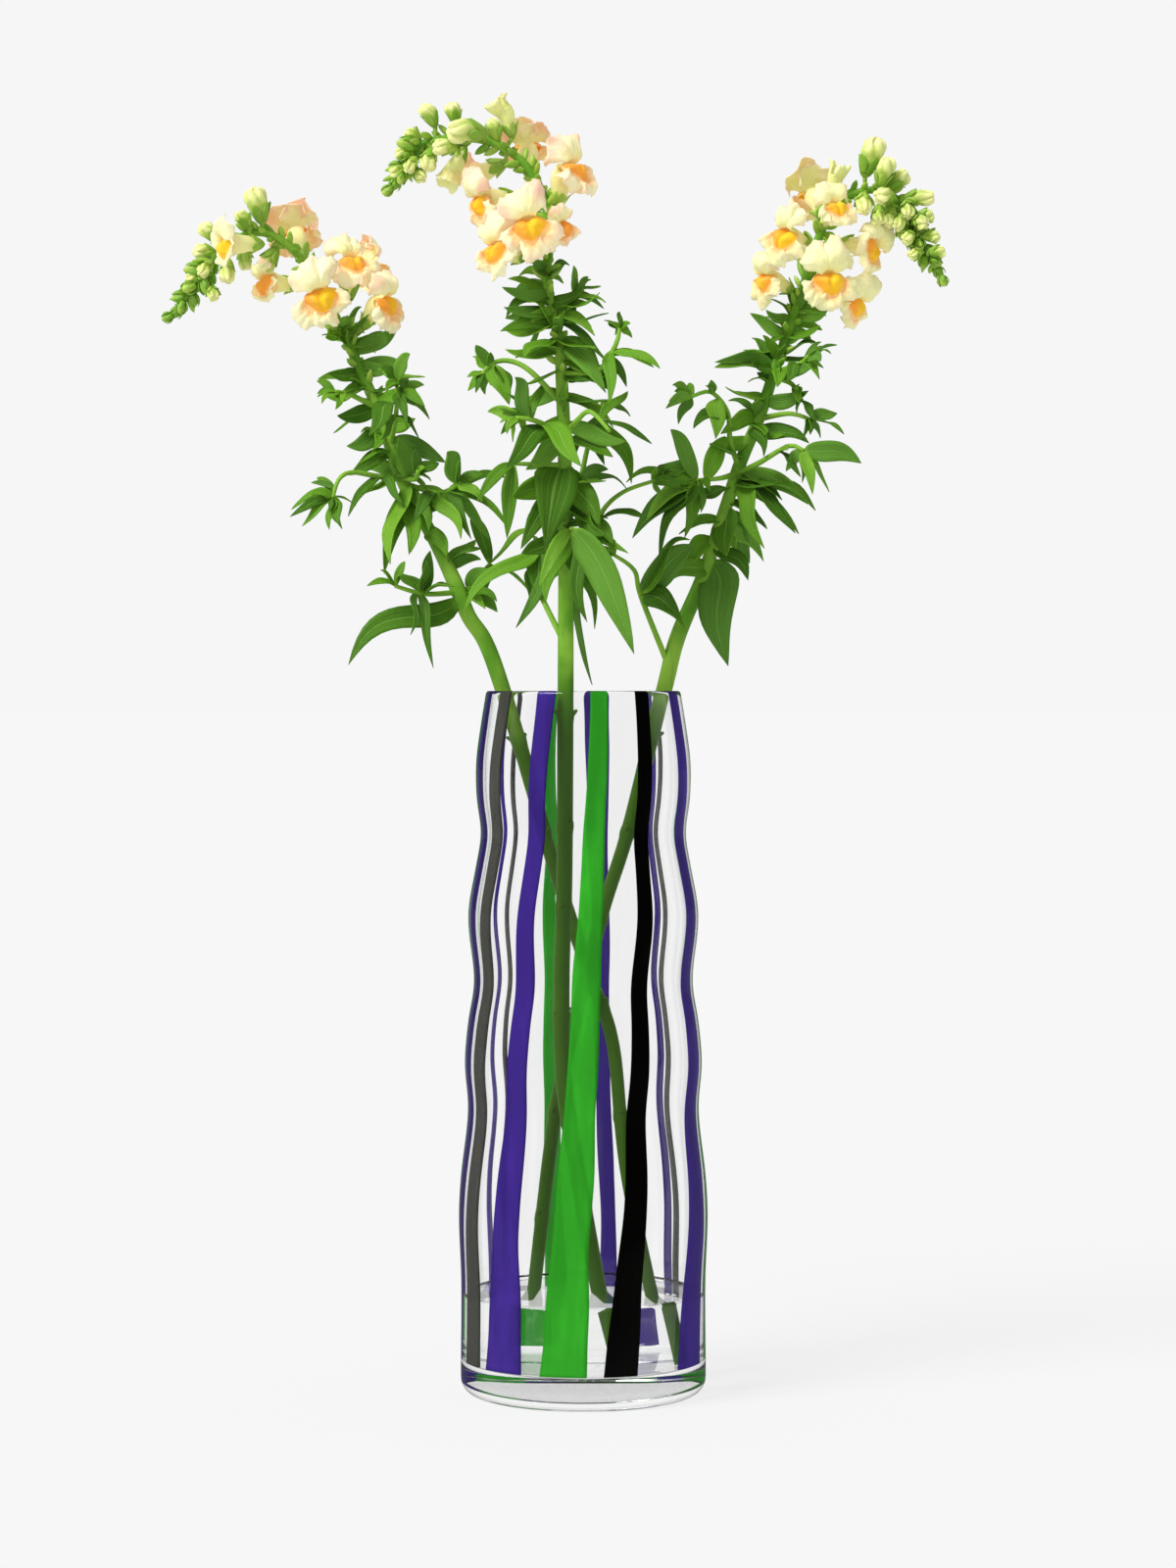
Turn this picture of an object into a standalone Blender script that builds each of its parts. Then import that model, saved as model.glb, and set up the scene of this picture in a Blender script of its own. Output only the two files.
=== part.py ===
# Snapdragon stems in a tall striped glass vase.
# Metres, +Z up. The origin is the centre of the vase's underside, and the front faces -Y.
import bpy
import bmesh
import random
from math import cos, pi, radians, sin
from mathutils import Matrix, Vector

MM = 0.001

# Vase
VASE_HEIGHT = 360          # millimetres, as are all sizes here
VASE_FLOOR = 16            # thickness of the solid glass floor
VASE_WALL = 4.2
VASE_RIM_WALL = 3.4
VASE_SEGMENTS = 32
WATER_LEVEL = 51
TOUCH_GAP = 0.3            # what touching pieces keep between them

# Height and outer radius of the waisted wall, from the rim down
VASE_OUTLINE = [
    (341, 52.9), (323, 55.1), (305, 54.8), (287, 52.6), (270, 55.2), (250, 58.8), (238, 58.9),
    (211, 56.1), (190, 59.2), (169, 60.9), (145, 59.2), (111, 62.9), (90, 63.9), (57, 62.7),
    (9, 62.9), (2, 61.2),
]

# The plants are laid out as seen from the front at the vase's axis: across, up, then depth from the
# viewer. What is nearer the eye than the axis is drawn in towards the eye line, and what is farther
# is spread, so that the layout keeps its look from the front.
EYE_DISTANCE = 1964
LAYOUT_SCALE = 1.007
DEPTH_SPREAD = 1.8         # shoots and leaves reach this much farther in depth than the tables say

# Stem axes from the cut end to the tip: across, up, depth, radius
STEM_AXES = {
    "left": [
        (41, 24, -13, 3.5), (22.5, 112, -8, 3.5), (15, 180, -4, 3.5), (2.5, 217, -1, 3.5),
        (-14, 267, 0, 3.6), (-25, 307, -1, 3.8), (-41.2, 361, -3, 4.2), (-50, 385, -2, 4.2),
        (-58.5, 398, -1, 4.1), (-65, 414, 1, 4.2), (-76, 437, 4, 3.6), (-92, 467, 8, 3.6),
        (-105.5, 505, 13, 3.1), (-124.5, 547, 18, 2.5), (-132.5, 562, 19, 2.4), (-143, 579, 17, 2.3),
        (-154, 590, 14, 2.2), (-166.5, 594, 10, 2.0), (-177.5, 590, 6, 1.8), (-186.5, 581, 3, 1.6),
        (-202.5, 561, 0, 1.3), (-210, 551, 0, 0.9),
    ],
    "centre": [
        (13.5, 24, 6, 4.3), (-2.5, 112, -5, 4.3), (-10, 162, -11, 4.3), (-11, 212, -18, 4.3),
        (-9.5, 267, -26, 4.2), (-9, 361, -40.3, 4.2), (-9, 432, -49, 3.9), (-9.5, 479, -54, 3.6),
        (-11, 519, -56, 3.2), (-12.5, 539, -57, 2.9), (-18.5, 570, -57, 2.5), (-17.5, 587, -55, 2.4),
        (-19, 607, -53, 2.3), (-25, 622, -50, 2.2), (-34.5, 633, -48, 2.1), (-47.5, 640, -47, 2.0),
        (-62.5, 642, -46, 1.8), (-77.5, 641, -46, 1.6), (-87.5, 635, -46, 1.4), (-98, 616, -46, 0.9),
    ],
    "right": [
        (-28.5, 26, 16, 3.7), (-17.5, 122, 13, 3.7), (-11, 162, 12.5, 3.7), (8.5, 242, 12, 3.7),
        (22.5, 287, 10, 3.8), (41.1, 360, 6, 4.3), (48, 387, 9, 4.3), (60.5, 417, 13, 3.8),
        (72.5, 453, 17, 3.5), (80, 476, 20, 3.5), (90, 500, 23, 3.3), (97.5, 523, 25, 3.0),
        (110.5, 560, 26, 2.5), (118.5, 587, 24, 2.3), (125, 601, 22, 2.2), (132.5, 610, 20, 2.1),
        (142.5, 615, 18, 2.0), (152.5, 615, 16, 1.9), (160, 611, 14, 1.7), (165, 600, 12, 1.5),
        (172.5, 586, 10, 1.3), (183.5, 571, 8, 0.9),
    ],
}
RACEME_START = {"left": 13, "centre": 9, "right": 12}   # index of the axis point where flowers begin

# Side shoots: across, up, depth. The first point is moved onto the nearest stem or earlier shoot.
SHOOTS = {
    "left": [
        [(-105.5, 505, 13), (-118.5, 511, 8), (-127, 513, 4)],
        [(-98.5, 485, 10), (-95.5, 502, 2), (-95, 518, -2)],
        [(-93, 469, 8), (-86, 468, -4), (-84.5, 472, -10)],
        [(-93, 467, 8), (-105, 469.5, 4), (-118.5, 471.5, 0), (-125, 467.5, -2), (-128, 457.5, -3)],
        [(-91.5, 466, 8), (-73.5, 461, 0), (-62.5, 466.5, -6)],
        [(-65.5, 409.5, 1), (-81, 409.5, -6), (-96, 413.5, -10)],
        [(-64, 407.5, 1), (-47.5, 425, 8)],
    ],
    "centre": [
        [(-15.5, 557, -57), (-4, 562, -60)],
        [(-11, 522, -56), (7.5, 523.5, -62), (16.5, 536.5, -64), (18.5, 545, -64)],
        [(-11, 506, -55), (-27.5, 523.5, -52), (-38.5, 528.5, -50), (-47.5, 526.5, -50), (-52.5, 520, -50)],
        [(-10, 491, -55), (-25, 498, -62), (-34.5, 499.5, -64)],
        [(-10, 490, -55), (-3.5, 497.5, -64), (3.5, 502.5, -68), (13.5, 492.5, -72)],
        [(-9.5, 463, -53), (-2.5, 465, -46), (2.5, 485, -42), (10, 507.5, -40)],
        [(-11, 475, -54), (-36, 476, -60)],
        [(-9, 440, -50), (-6, 443, -62)],
        [(-11, 383, -43), (-23.5, 413, -36), (-25, 424, -34), (-22, 432, -34)],
        [(-9, 427, -49), (6, 438.5, -44), (10, 452, -42), (20.5, 461.5, -40), (35.5, 467, -40)],
    ],
    "right": [
        [(97.5, 523, 25), (110, 526.5, 14), (115, 531, 10)],
        [(97, 520, 25), (106.5, 516.5, 20), (111.5, 508, 16)],
        [(91, 498, 23), (105, 501.5, 18), (116, 498.5, 14)],
        [(79.5, 470, 20), (90, 476.5, 12), (105, 485, 6), (112.5, 482.5, 4)],
        [(79, 474, 20), (75, 487.5, 14), (73.5, 502.5, 12), (65, 512.5, 10), (55, 510, 8)],
        [(78.5, 471, 20), (70, 468.5, 12), (57.5, 467.5, 8)],
        [(42, 372, 7), (29.5, 408, 0), (26, 421.5, -4), (15.5, 429.5, -6)],
    ],
}

# Leaves: across and up of the root, across and up of the tip, width, depth change from root to tip.
# The root is moved onto the nearest stem or shoot.
LEAVES = {
    "left": [
        (-121.5, 536, -133.5, 541.5, 4, -8), (-117, 532, -102.5, 543.5, 4, 8),
        (-125, 513, -133.5, 506.5, 4, -4), (-122.5, 511.5, -126.5, 503.5, 4, -6),
        (-126.5, 514, -136, 518, 4, 3), (-114, 520, -135.5, 519, 5, 8),
        (-108.5, 515, -124.5, 510, 4, -10), (-105.5, 507.5, -113, 518.5, 4, 10),
        (-97, 506, -109.5, 490, 11, -14), (-105.5, 502.5, -127.5, 491.5, 6, 12),
        (-100, 492, -108, 482.5, 5, -12), (-95.5, 518.5, -105, 523.5, 5, 5),
        (-95, 518.5, -88.5, 532, 7, -8), (-95.5, 517.5, -100.5, 511.5, 4, -10),
        (-95, 517.5, -83.5, 509, 6, 8), (-95, 512.5, -90, 493.5, 6, -14),
        (-95, 510, -78.5, 498.5, 6, 12), (-96, 500, -83.5, 488, 5, -10),
        (-88.5, 469, -95, 489, 9, -10), (-84, 468.5, -85.5, 483.5, 6, -2),
        (-83, 468.5, -73.5, 476, 6, 2), (-94, 471, -117.5, 472.5, 7, 8),
        (-97.5, 481, -114, 476, 5, -10), (-126.5, 460, -149, 452.5, 5, 4),
        (-127.5, 459, -143.5, 444, 5, -3), (-127, 463, -142, 454.5, 4, 8),
        (-128, 458, -129.5, 442, 4, -4), (-128, 459, -123, 442.5, 4, 3),
        (-104, 469, -120, 449, 6, -12), (-94.5, 464, -98.5, 424.5, 10, -18),
        (-90, 460, -88, 430.5, 9, -14), (-87, 463.5, -79, 441, 6, -8),
        (-64.5, 466.5, -69.5, 482, 8, -4), (-63.5, 466.5, -51.5, 456, 6, -4),
        (-69.5, 462, -38, 442.5, 6, -6), (-75, 461, -62.5, 437.5, 7, -10),
        (-67.5, 463, -47.5, 436.5, 5, 8), (-63.5, 406.5, -120, 373, 12, -14),
        (-95, 413.5, -110.5, 413.5, 4, -2), (-96, 413.5, -91, 426, 4, -4),
        (-119, 541, -106, 547, 4, 9), (-122, 545, -113, 556, 3, 8),
        (-81, 409.5, -78, 431.5, 7, -6), (-83.5, 409.5, -76.5, 371.5, 5, -6),
        (-71.5, 421.5, -55, 437, 6, 10), (-47.5, 425, -24, 442, 8, 6),
        (-47.5, 426, -23.5, 405, 6, -8), (-61.5, 412.5, -44, 405.5, 6, -12),
    ],
    "centre": [
        (-17.5, 561, -35.5, 563.5, 5, 6), (-16.5, 556.5, -39.5, 550, 6, -8),
        (-19, 568, -33, 571.5, 5, 5), (-16, 566, -7, 577, 4, 8), (-15, 552, -30, 541, 5, -6),
        (-14, 550, 4, 546, 5, 8), (-13.5, 547, 6, 541, 6, -8),
        (-4, 562, 9, 566.5, 4, 2), (-4, 562, 11.5, 558, 4, -4),
        (-5, 561.5, 10.5, 555, 4, 5), (-4, 562, -5, 577, 4, -2),
        (-14, 543.5, -40, 550, 6, 8), (-14, 541, -42.5, 543.5, 7, -10),
        (-14, 535, -12.5, 550, 5, -12), (-11, 530.5, -30, 530, 10, -16),
        (-11, 533.5, 11.5, 512, 11, -8), (10, 526.5, 36, 525, 5, 6),
        (12, 529, 13, 505, 6, -10), (18.5, 545, 12.5, 547.5, 3, 2),
        (18.5, 545, 24, 547.5, 3, -3), (18.5, 545, 18.5, 553.5, 3, 3),
        (18.5, 543, 25, 540, 3, 4), (-50, 523.5, -55, 536.5, 5, -3),
        (-51, 522.5, -56.5, 530.5, 4, 4), (-52.5, 520, -55, 512, 4, -3),
        (-52.5, 520, -50, 511, 4, 3), (-52.5, 520, -59, 513, 4, 3),
        (-30, 498.5, -49, 502.5, 6, 4), (-26, 497.5, -35, 520, 7, -6),
        (-25, 497.5, -21.5, 516, 5, 6), (-34.5, 499.5, -39, 491, 4, -3),
        (-34.5, 499, -36, 487, 4, 4), (-17, 490, -39.5, 473.5, 10, -14),
        (-20, 491, -1, 474.5, 10, -18), (-10, 496, -7.5, 518.5, 6, -10),
        (10, 497, 24.5, 465.5, 8, -8), (12, 495, 35, 486, 5, 6),
        (10, 507, 24, 500, 6, 5), (3, 487, 11, 475, 5, -5),
        (0, 467, 22.5, 462.5, 6, 6), (-10.5, 472.5, -19.5, 432.5, 20, -16),
        (-36, 476, -39, 437.5, 8, -3), (-4, 440, 26, 378.5, 15, -8),
        (-6.5, 440, 2, 395, 8, -6), (-6, 443, -10, 450, 4, -4),
        (-6, 443, -1, 451, 4, -4), (-6, 443, 2.5, 443, 4, -6),
        (-7, 423, 4.5, 363, 8, 14), (-22, 432, -17, 438, 3, -2),
        (-22, 432, -26, 439, 3, 2), (35.5, 467, 52.5, 472.5, 5, 2),
        (35.5, 467, 50, 463.5, 5, -4), (35.5, 467, 42.5, 475, 4, 3),
        (35.5, 467, 55, 467.5, 4, 5), (10, 445, 32.5, 448, 9, -6),
    ],
    "right": [
        (110, 556, 103, 568, 4, 6), (112, 556, 124, 551, 5, -4), (108, 552, 95, 560, 5, 4),
        (107, 548, 122, 544, 6, 6), (105, 545, 93, 551, 5, -6),
        (95, 522, 67, 525, 11, -10), (88, 522, 84, 517.5, 4, -6), (96, 527, 86, 540, 5, 8),
        (99, 530, 91.5, 541.5, 4, -8), (115, 531, 129.5, 536.5, 7, -4), (113, 529, 126.5, 532, 5, 8),
        (111, 527, 120.5, 519, 7, -8), (103, 525, 99, 515, 8, -14), (111.5, 508, 118.5, 497.5, 5, -5),
        (107, 516, 110.5, 506.5, 5, -8), (90, 500.5, 70, 491, 8, -12), (89, 503, 74, 508, 5, 6),
        (116, 498.5, 133, 491, 7, -5), (116, 498.5, 121, 489, 4, 3), (116, 498.5, 112, 488, 4, -4),
        (92, 496, 92, 479.5, 7, -14), (112.5, 483, 142, 476, 10, 3), (112.5, 482, 117, 460, 6, -4),
        (100, 482, 111, 469, 5, -6), (113, 482, 125.5, 461.5, 4, 4), (82, 466, 118.5, 452, 15, -12),
        (83, 464, 92.5, 432.5, 10, -16), (84, 463, 110, 440, 9, 8), (72, 452, 85, 425, 12, 10),
        (55, 510, 45.5, 516, 5, 3), (55, 510, 42, 504, 5, -3), (55, 510, 48.5, 496, 5, 4),
        (66, 512, 65, 518.5, 4, -3), (68, 509, 67.5, 488.5, 9, -6), (57.5, 467.5, 44.5, 493.5, 8, -4),
        (62, 468, 72.5, 490, 9, 5), (57.5, 467.5, 50, 462, 4, -3), (57.5, 467.5, 52, 473, 4, 4),
        (60, 468, 60, 451, 5, -5), (30, 410, 54.5, 437, 12, -6), (30, 409, 50, 396.5, 11, -8),
        (15.5, 429.5, 9, 434, 4, 2), (15.5, 429.5, 14, 438, 4, -3), (63, 428, 74, 372.5, 19, -12),
        (70, 447, 92, 426, 8, 10),
    ],
}

# Open flowers: across, up, depth of the mouth; tube direction; side of the lower lip; bend of the
# lips towards the lower lip in degrees; size; how open. Directions are right, to the viewer, up.
BLOOMS = {
    "left": [
        (-134.5, 561.5, -6, (0.05, 1.0, -0.12), (0.3, 0.0, -1.0), 0, 1.12, 1.0),
        (-103.5, 560, 6, (0.5, 0.45, 0.75), (0.8, 0.3, -0.5), 40, 1.0, 1.0),
        (-120, 578.5, 11, (0.0, 0.3, 1.0), (0.5, 0.8, 0.0), 35, 1.05, 1.0),
        (-110, 576.5, 40, (0.55, -0.55, 0.6), (0.6, -0.3, -0.5), 20, 0.95, 1.0),
        (-147, 594.5, 34, (-0.25, -0.45, 0.85), (0.0, -0.8, -0.5), 30, 1.0, 1.0),
        (-161, 568.5, 0, (-0.8, 0.6, 0.05), (0.15, 0.3, -1.0), 0, 0.95, 0.7),
        (-181, 588, -19, (-0.8, 0.45, -0.05), (0.1, 0.3, -1.0), 0, 1.0, 0.75),
    ],
    "centre": [
        (-27.5, 597.5, -82, (-0.1, 1.0, 0.1), (0.2, 0.0, -1.0), 0, 1.12, 1.0),
        (-43.5, 585, -72, (-0.65, 0.75, 0.15), (0.1, 0.2, -1.0), 0, 1.0, 1.0),
        (-51.5, 611, -58, (-0.8, 0.4, -0.1), (-0.4, 0.2, -0.9), 10, 1.0, 1.0),
        (-9, 627, -52, (0.25, 0.2, 0.95), (0.9, 0.4, -0.2), 40, 1.12, 1.0),
        (-11.5, 596.5, -69, (0.35, 0.85, 0.0), (0.2, 0.0, -1.0), 0, 0.75, 0.8),
        (-28.5, 637, -30, (-0.1, -0.5, 0.9), (0.0, -0.9, -0.3), 20, 1.0, 0.9),
        (-41, 658.5, -46, (-0.3, 0.1, 0.95), (-0.9, 0.2, -0.2), 20, 0.85, 0.3),
        (-55, 622.5, -27, (-0.8, -0.5, -0.3), (-0.4, -0.4, -0.8), 0, 1.0, 0.85),
        (-68, 622.5, -45, (-0.4, 0.1, -0.85), (-0.2, 0.5, -0.5), 0, 0.9, 0.45),
    ],
    "right": [
        (125, 570, -3, (0.25, 0.95, 0.0), (0.05, 0.0, -1.0), 0, 1.12, 1.0),
        (138.5, 558, 13, (0.75, 0.6, -0.3), (0.1, 0.2, -1.0), 0, 0.9, 1.0),
        (104, 592, 1, (-0.6, 0.75, 0.1), (-0.5, 0.1, -0.85), 0, 1.0, 1.0),
        (94.5, 571, 19, (-0.75, 0.5, 0.35), (-0.6, 0.3, -0.7), 20, 0.9, 1.0),
        (128, 606, 1, (0.35, 0.8, 0.5), (0.35, 0.4, -0.85), 0, 0.85, 1.0),
        (116.5, 614, 37, (-0.35, -0.5, 0.75), (-0.2, -0.8, -0.3), 20, 1.0, 1.0),
        (146, 586.5, 12, (0.85, 0.5, -0.15), (0.1, 0.6, -0.8), 0, 1.0, 1.0),
        (129, 625, 16, (0.1, 0.1, 0.98), (0.9, 0.3, 0.0), 10, 0.8, 0.3),
    ],
}

# Pale buds: across, up, depth of the base; direction; length; width
BUDS = {
    "left": [
        (-164, 600, 9, (-0.2, 0.2, 1.0), 17, 12), (-157, 585, 15, (-0.4, 0.1, -0.6), 14, 10),
        (-187, 590, 8, (-0.6, 0.3, 0.75), 11, 9), (-188, 583, 6, (-0.9, 0.3, 0.2), 11, 8.5),
        (-181, 579, 0, (-0.1, 0.5, -0.9), 12, 8.5), (-173, 586, 17, (0.0, -0.7, -1.0), 12, 8),
    ],
    "centre": [
        (-51, 644.5, -55, (-1.0, 0.35, 0.12), 18, 13), (-66, 637, -54, (-1.0, 0.7, 0.1), 11, 9),
        (-77, 636, -49, (-0.35, 0.4, -1.0), 11, 9), (-65, 650, -44, (-0.2, 0.1, 1.0), 10, 8.5),
        (-76, 649, -46, (-0.4, 0.2, 1.0), 11, 9),
    ],
    "right": [
        (144, 624, 15, (0.28, 0.1, 1.0), 19, 12.5), (151.5, 618, 8, (0.25, 0.3, 1.0), 15, 10),
        (156, 617, 13, (0.8, 0.0, 0.7), 12, 9.5), (164, 611, 12, (1.0, 0.2, 0.1), 15, 9),
        (158, 612, 3, (-1.0, 0.8, 0.1), 11, 9), (143, 613, 8, (-0.05, 0.7, -0.8), 12, 9),
    ],
}

# Younger, greener buds below the tip, part of the stem, in the same way
YOUNG_BUDS = {
    "left": [
        (-190, 578, -1, (-0.5, 0.6, -0.5), 10, 7.5), (-194, 576, 2, (-0.9, 0.2, 0.0), 8, 7),
        (-195, 570, 1, (-0.9, 0.4, 0.1), 8, 6.5), (-190, 566, -1, (0.3, 0.7, -0.9), 8, 6.5),
        (-171, 597, 5, (-0.5, 0.2, 0.9), 9, 7.5),
    ],
    "centre": [
        (-84, 641, -45, (-0.7, 0.2, 0.6), 8, 7.5), (-88, 634, -47, (-1.0, 0.3, 0.1), 8, 7),
        (-86, 631.5, -49, (-0.5, 0.7, -0.8), 8.5, 7), (-91, 626, -46, (-0.9, 0.4, -0.2), 8, 6.5),
        (-86, 625.5, -47, (0.6, 0.6, -0.6), 8, 6.5), (-44, 642, -48, (-0.2, 0.2, 1.0), 10, 7.5),
    ],
    "right": [
        (170, 602, 9, (1.0, 0.2, 0.1), 9, 7.5), (165, 609, 6, (0.0, 0.7, -0.7), 10, 7.5),
        (163, 603, 5, (-0.4, 0.6, -0.8), 9, 7.5), (169, 600, 5, (0.6, 0.8, -0.2), 9, 7.5),
        (158, 606, 7, (-0.3, 0.5, -1.0), 10, 8), (151, 607, 7, (-0.1, 0.6, -1.0), 10, 8),
        (174, 592, 6, (0.9, 0.5, 0.0), 8, 7), (168, 593, 4, (-0.6, 0.7, -0.4), 8, 7),
        (177, 584, 5, (0.9, 0.4, 0.1), 8, 6.5), (172, 584, 4, (-0.7, 0.6, -0.2), 8, 6.5),
    ],
}

# Small green buds spiral round the last stretch of each head: length of the stretch, count
TIP_BUDS = {"left": (30, 9), "centre": (28, 8), "right": (42, 11)}

# How far ahead and how far out the outer and inner edge of the calyx lie, at a sepal's tip and between,
# and of the plainer cup round a bud
SEPAL = [((6.2, 6.0), (6.4, 5.7)), ((1.9, 2.2), (4.0, 3.3))]
BUD_SEPAL = ((4.0, 3.7), (5.3, 4.9))

# Colour, roughness, metallic, transmission
FINISHES = {
    "glass": ((0.93, 0.96, 0.94), 0.03, 0.0, 0.95),
    "water": ((0.95, 0.97, 0.96), 0.02, 0.0, 0.95),
    "stem": ((0.20, 0.38, 0.09), 0.5, 0.0, 0.0),
    "petal": ((0.93, 0.83, 0.58), 0.45, 0.0, 0.0),
    "bud": ((0.70, 0.76, 0.36), 0.45, 0.0, 0.0),
}


def clear_scene():
    for old in list(bpy.data.objects):
        bpy.data.objects.remove(old, do_unlink=True)


def seen(across, up, depth):
    """Turns a place in the front layout into metres."""
    spread = LAYOUT_SCALE * (1 + depth / EYE_DISTANCE)
    height = VASE_HEIGHT + (up - VASE_HEIGHT) * spread
    return Vector((across * spread, depth, height)) * MM


def towards(direction):
    """Right, to the viewer, up, as a unit vector of the world."""
    right, near, up = direction
    return Vector((right, -near, up)).normalized()


def material(name):
    finish = bpy.data.materials.get(name)
    if finish:
        return finish
    colour, roughness, metallic, transmission = FINISHES[name]
    finish = bpy.data.materials.new(name)
    finish.use_nodes = True
    shader = finish.node_tree.nodes["Principled BSDF"]
    shader.inputs["Base Color"].default_value = (*colour, 1)
    shader.inputs["Roughness"].default_value = roughness
    shader.inputs["Metallic"].default_value = metallic
    shader.inputs["Transmission Weight"].default_value = transmission
    finish.diffuse_color = (*colour, 1)
    return finish


def new_object(name, mesh, collection):
    obj = bpy.data.objects.new(name, mesh)
    collection.objects.link(obj)
    return obj


def tube(name, points, radii, collection, sides=2):
    """A round stem through the points, as a mesh."""
    curve = bpy.data.curves.new(name, "CURVE")
    curve.dimensions = "3D"
    curve.bevel_depth = 1
    curve.bevel_resolution = sides
    curve.use_fill_caps = True
    spline = curve.splines.new("POLY")
    spline.points.add(len(points) - 1)
    for spot, place, radius in zip(spline.points, points, radii):
        spot.co = (*place, 1)
        spot.radius = radius
    guide = new_object(name + "_curve", curve, collection)
    mesh = bpy.data.meshes.new_from_object(guide.evaluated_get(bpy.context.evaluated_depsgraph_get()))
    bpy.data.objects.remove(guide, do_unlink=True)
    form = bmesh.new()
    form.from_mesh(mesh)
    bmesh.ops.remove_doubles(form, verts=form.verts, dist=1e-6)
    bmesh.ops.recalc_face_normals(form, faces=form.faces)
    form.to_mesh(mesh)
    form.free()
    return new_object(name, mesh, collection)


def turned(name, profile, collection, finish):
    """A Screw of the profile, which runs from the axis out, down and back to the axis."""
    mesh = bpy.data.meshes.new(name)
    points = [(radius * MM, 0, height * MM) for height, radius in profile]
    mesh.from_pydata(points, [(i, i + 1) for i in range(len(points) - 1)], [])
    obj = new_object(name, mesh, collection)
    screw = obj.modifiers.new("Turn", "SCREW")
    screw.steps = VASE_SEGMENTS
    screw.render_steps = VASE_SEGMENTS
    screw.use_merge_vertices = True
    screw.merge_threshold = 0.0001
    screw.use_smooth_shade = False
    obj.data.materials.append(material(finish))
    return obj


def bridge(ring_a, ring_b):
    """Triangles between two rings of (angle, vertex), which may differ in count."""
    faces = []
    a = b = 0
    while a < len(ring_a) or b < len(ring_b):
        next_a = ring_a[(a + 1) % len(ring_a)][0] + (360 if a + 1 >= len(ring_a) else 0)
        next_b = ring_b[(b + 1) % len(ring_b)][0] + (360 if b + 1 >= len(ring_b) else 0)
        this_a = ring_a[a % len(ring_a)][1]
        this_b = ring_b[b % len(ring_b)][1]
        if b >= len(ring_b) or (a < len(ring_a) and next_a <= next_b):
            faces.append((this_a, ring_a[(a + 1) % len(ring_a)][1], this_b))
            a += 1
        else:
            faces.append((this_a, ring_b[(b + 1) % len(ring_b)][1], this_b))
            b += 1
    return faces


def loft(name, rings, collection):
    """A closed body through rings of (angle, point), with a flat cap at each end."""
    form = bmesh.new()
    made = [[(angle, form.verts.new(point)) for angle, point in ring] for ring in rings]
    for ring_a, ring_b in zip(made, made[1:]):
        for face in bridge(ring_a, ring_b):
            if len(set(face)) == 3:
                form.faces.new(face)
    for ring in (made[0], made[-1]):
        if len(ring) > 2:
            form.faces.new([vertex for _, vertex in ring])
    bmesh.ops.recalc_face_normals(form, faces=form.faces)
    bmesh.ops.triangulate(form, faces=[face for face in form.faces if len(face.verts) > 3])
    mesh = bpy.data.meshes.new(name)
    form.to_mesh(mesh)
    form.free()
    return new_object(name, mesh, collection)


def axes_of(forward, lower):
    """A matrix whose X is forward and whose -Z is the lower side."""
    x = forward.normalized()
    z = -(lower - lower.dot(x) * x).normalized()
    return Matrix((x, z.cross(x), z)).transposed()


def round_ring(frame, origin, ahead, radius, count, drop=0.0):
    ring = []
    for step in range(count):
        angle = 360 * step / count
        turn = radians(angle)
        ring.append((angle, origin + frame @ Vector((ahead, radius * sin(turn), -radius * cos(turn) - drop))))
    return ring


def nearest(place, lines):
    """The closest spot to place on any of the lines, looking from the front when it has no depth."""
    best = None
    for line in lines:
        for start, end in zip(line, line[1:]):
            along = end - start
            offset = place - start
            if place.y == 0:
                along_seen = Vector((along.x, 0, along.z))
                share = Vector((offset.x, 0, offset.z)).dot(along_seen) / max(along_seen.length_squared, 1e-12)
            else:
                share = offset.dot(along) / along.length_squared
            spot = start + along * min(max(share, 0.02), 0.98)
            gap = spot - place
            if place.y == 0:
                gap.y = 0
            if best is None or gap.length < best[0]:
                best = (gap.length, spot)
    return best[1]


# Vase and water

def inner_radius(height):
    """Inside radius of the vase at a height."""
    outline = [(VASE_HEIGHT, 49.85)] + VASE_OUTLINE
    for (top, wide), (low, narrow) in zip(outline, outline[1:]):
        if low <= height <= top:
            outer = narrow + (wide - narrow) * (height - low) / (top - low)
            break
    rim_share = max(0, (height - 320) / 40)
    return outer - VASE_WALL + (VASE_WALL - VASE_RIM_WALL) * rim_share


def make_vase(collection):
    inside = [(VASE_FLOOR, 0), (VASE_FLOOR, 50), (VASE_FLOOR + 2, 56.5)]
    for height in (24, 90, 145, 169, 211, 244, 287, 314, 341):
        inside.append((height, inner_radius(height)))
    inside += [(VASE_HEIGHT - 1, inner_radius(VASE_HEIGHT - 1)), (VASE_HEIGHT, 48.0)]
    outside = [(VASE_HEIGHT, 49.2)] + VASE_OUTLINE + [(0, 57.5), (0, 0)]
    return turned("vase", inside + outside, collection, "glass")


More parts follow.
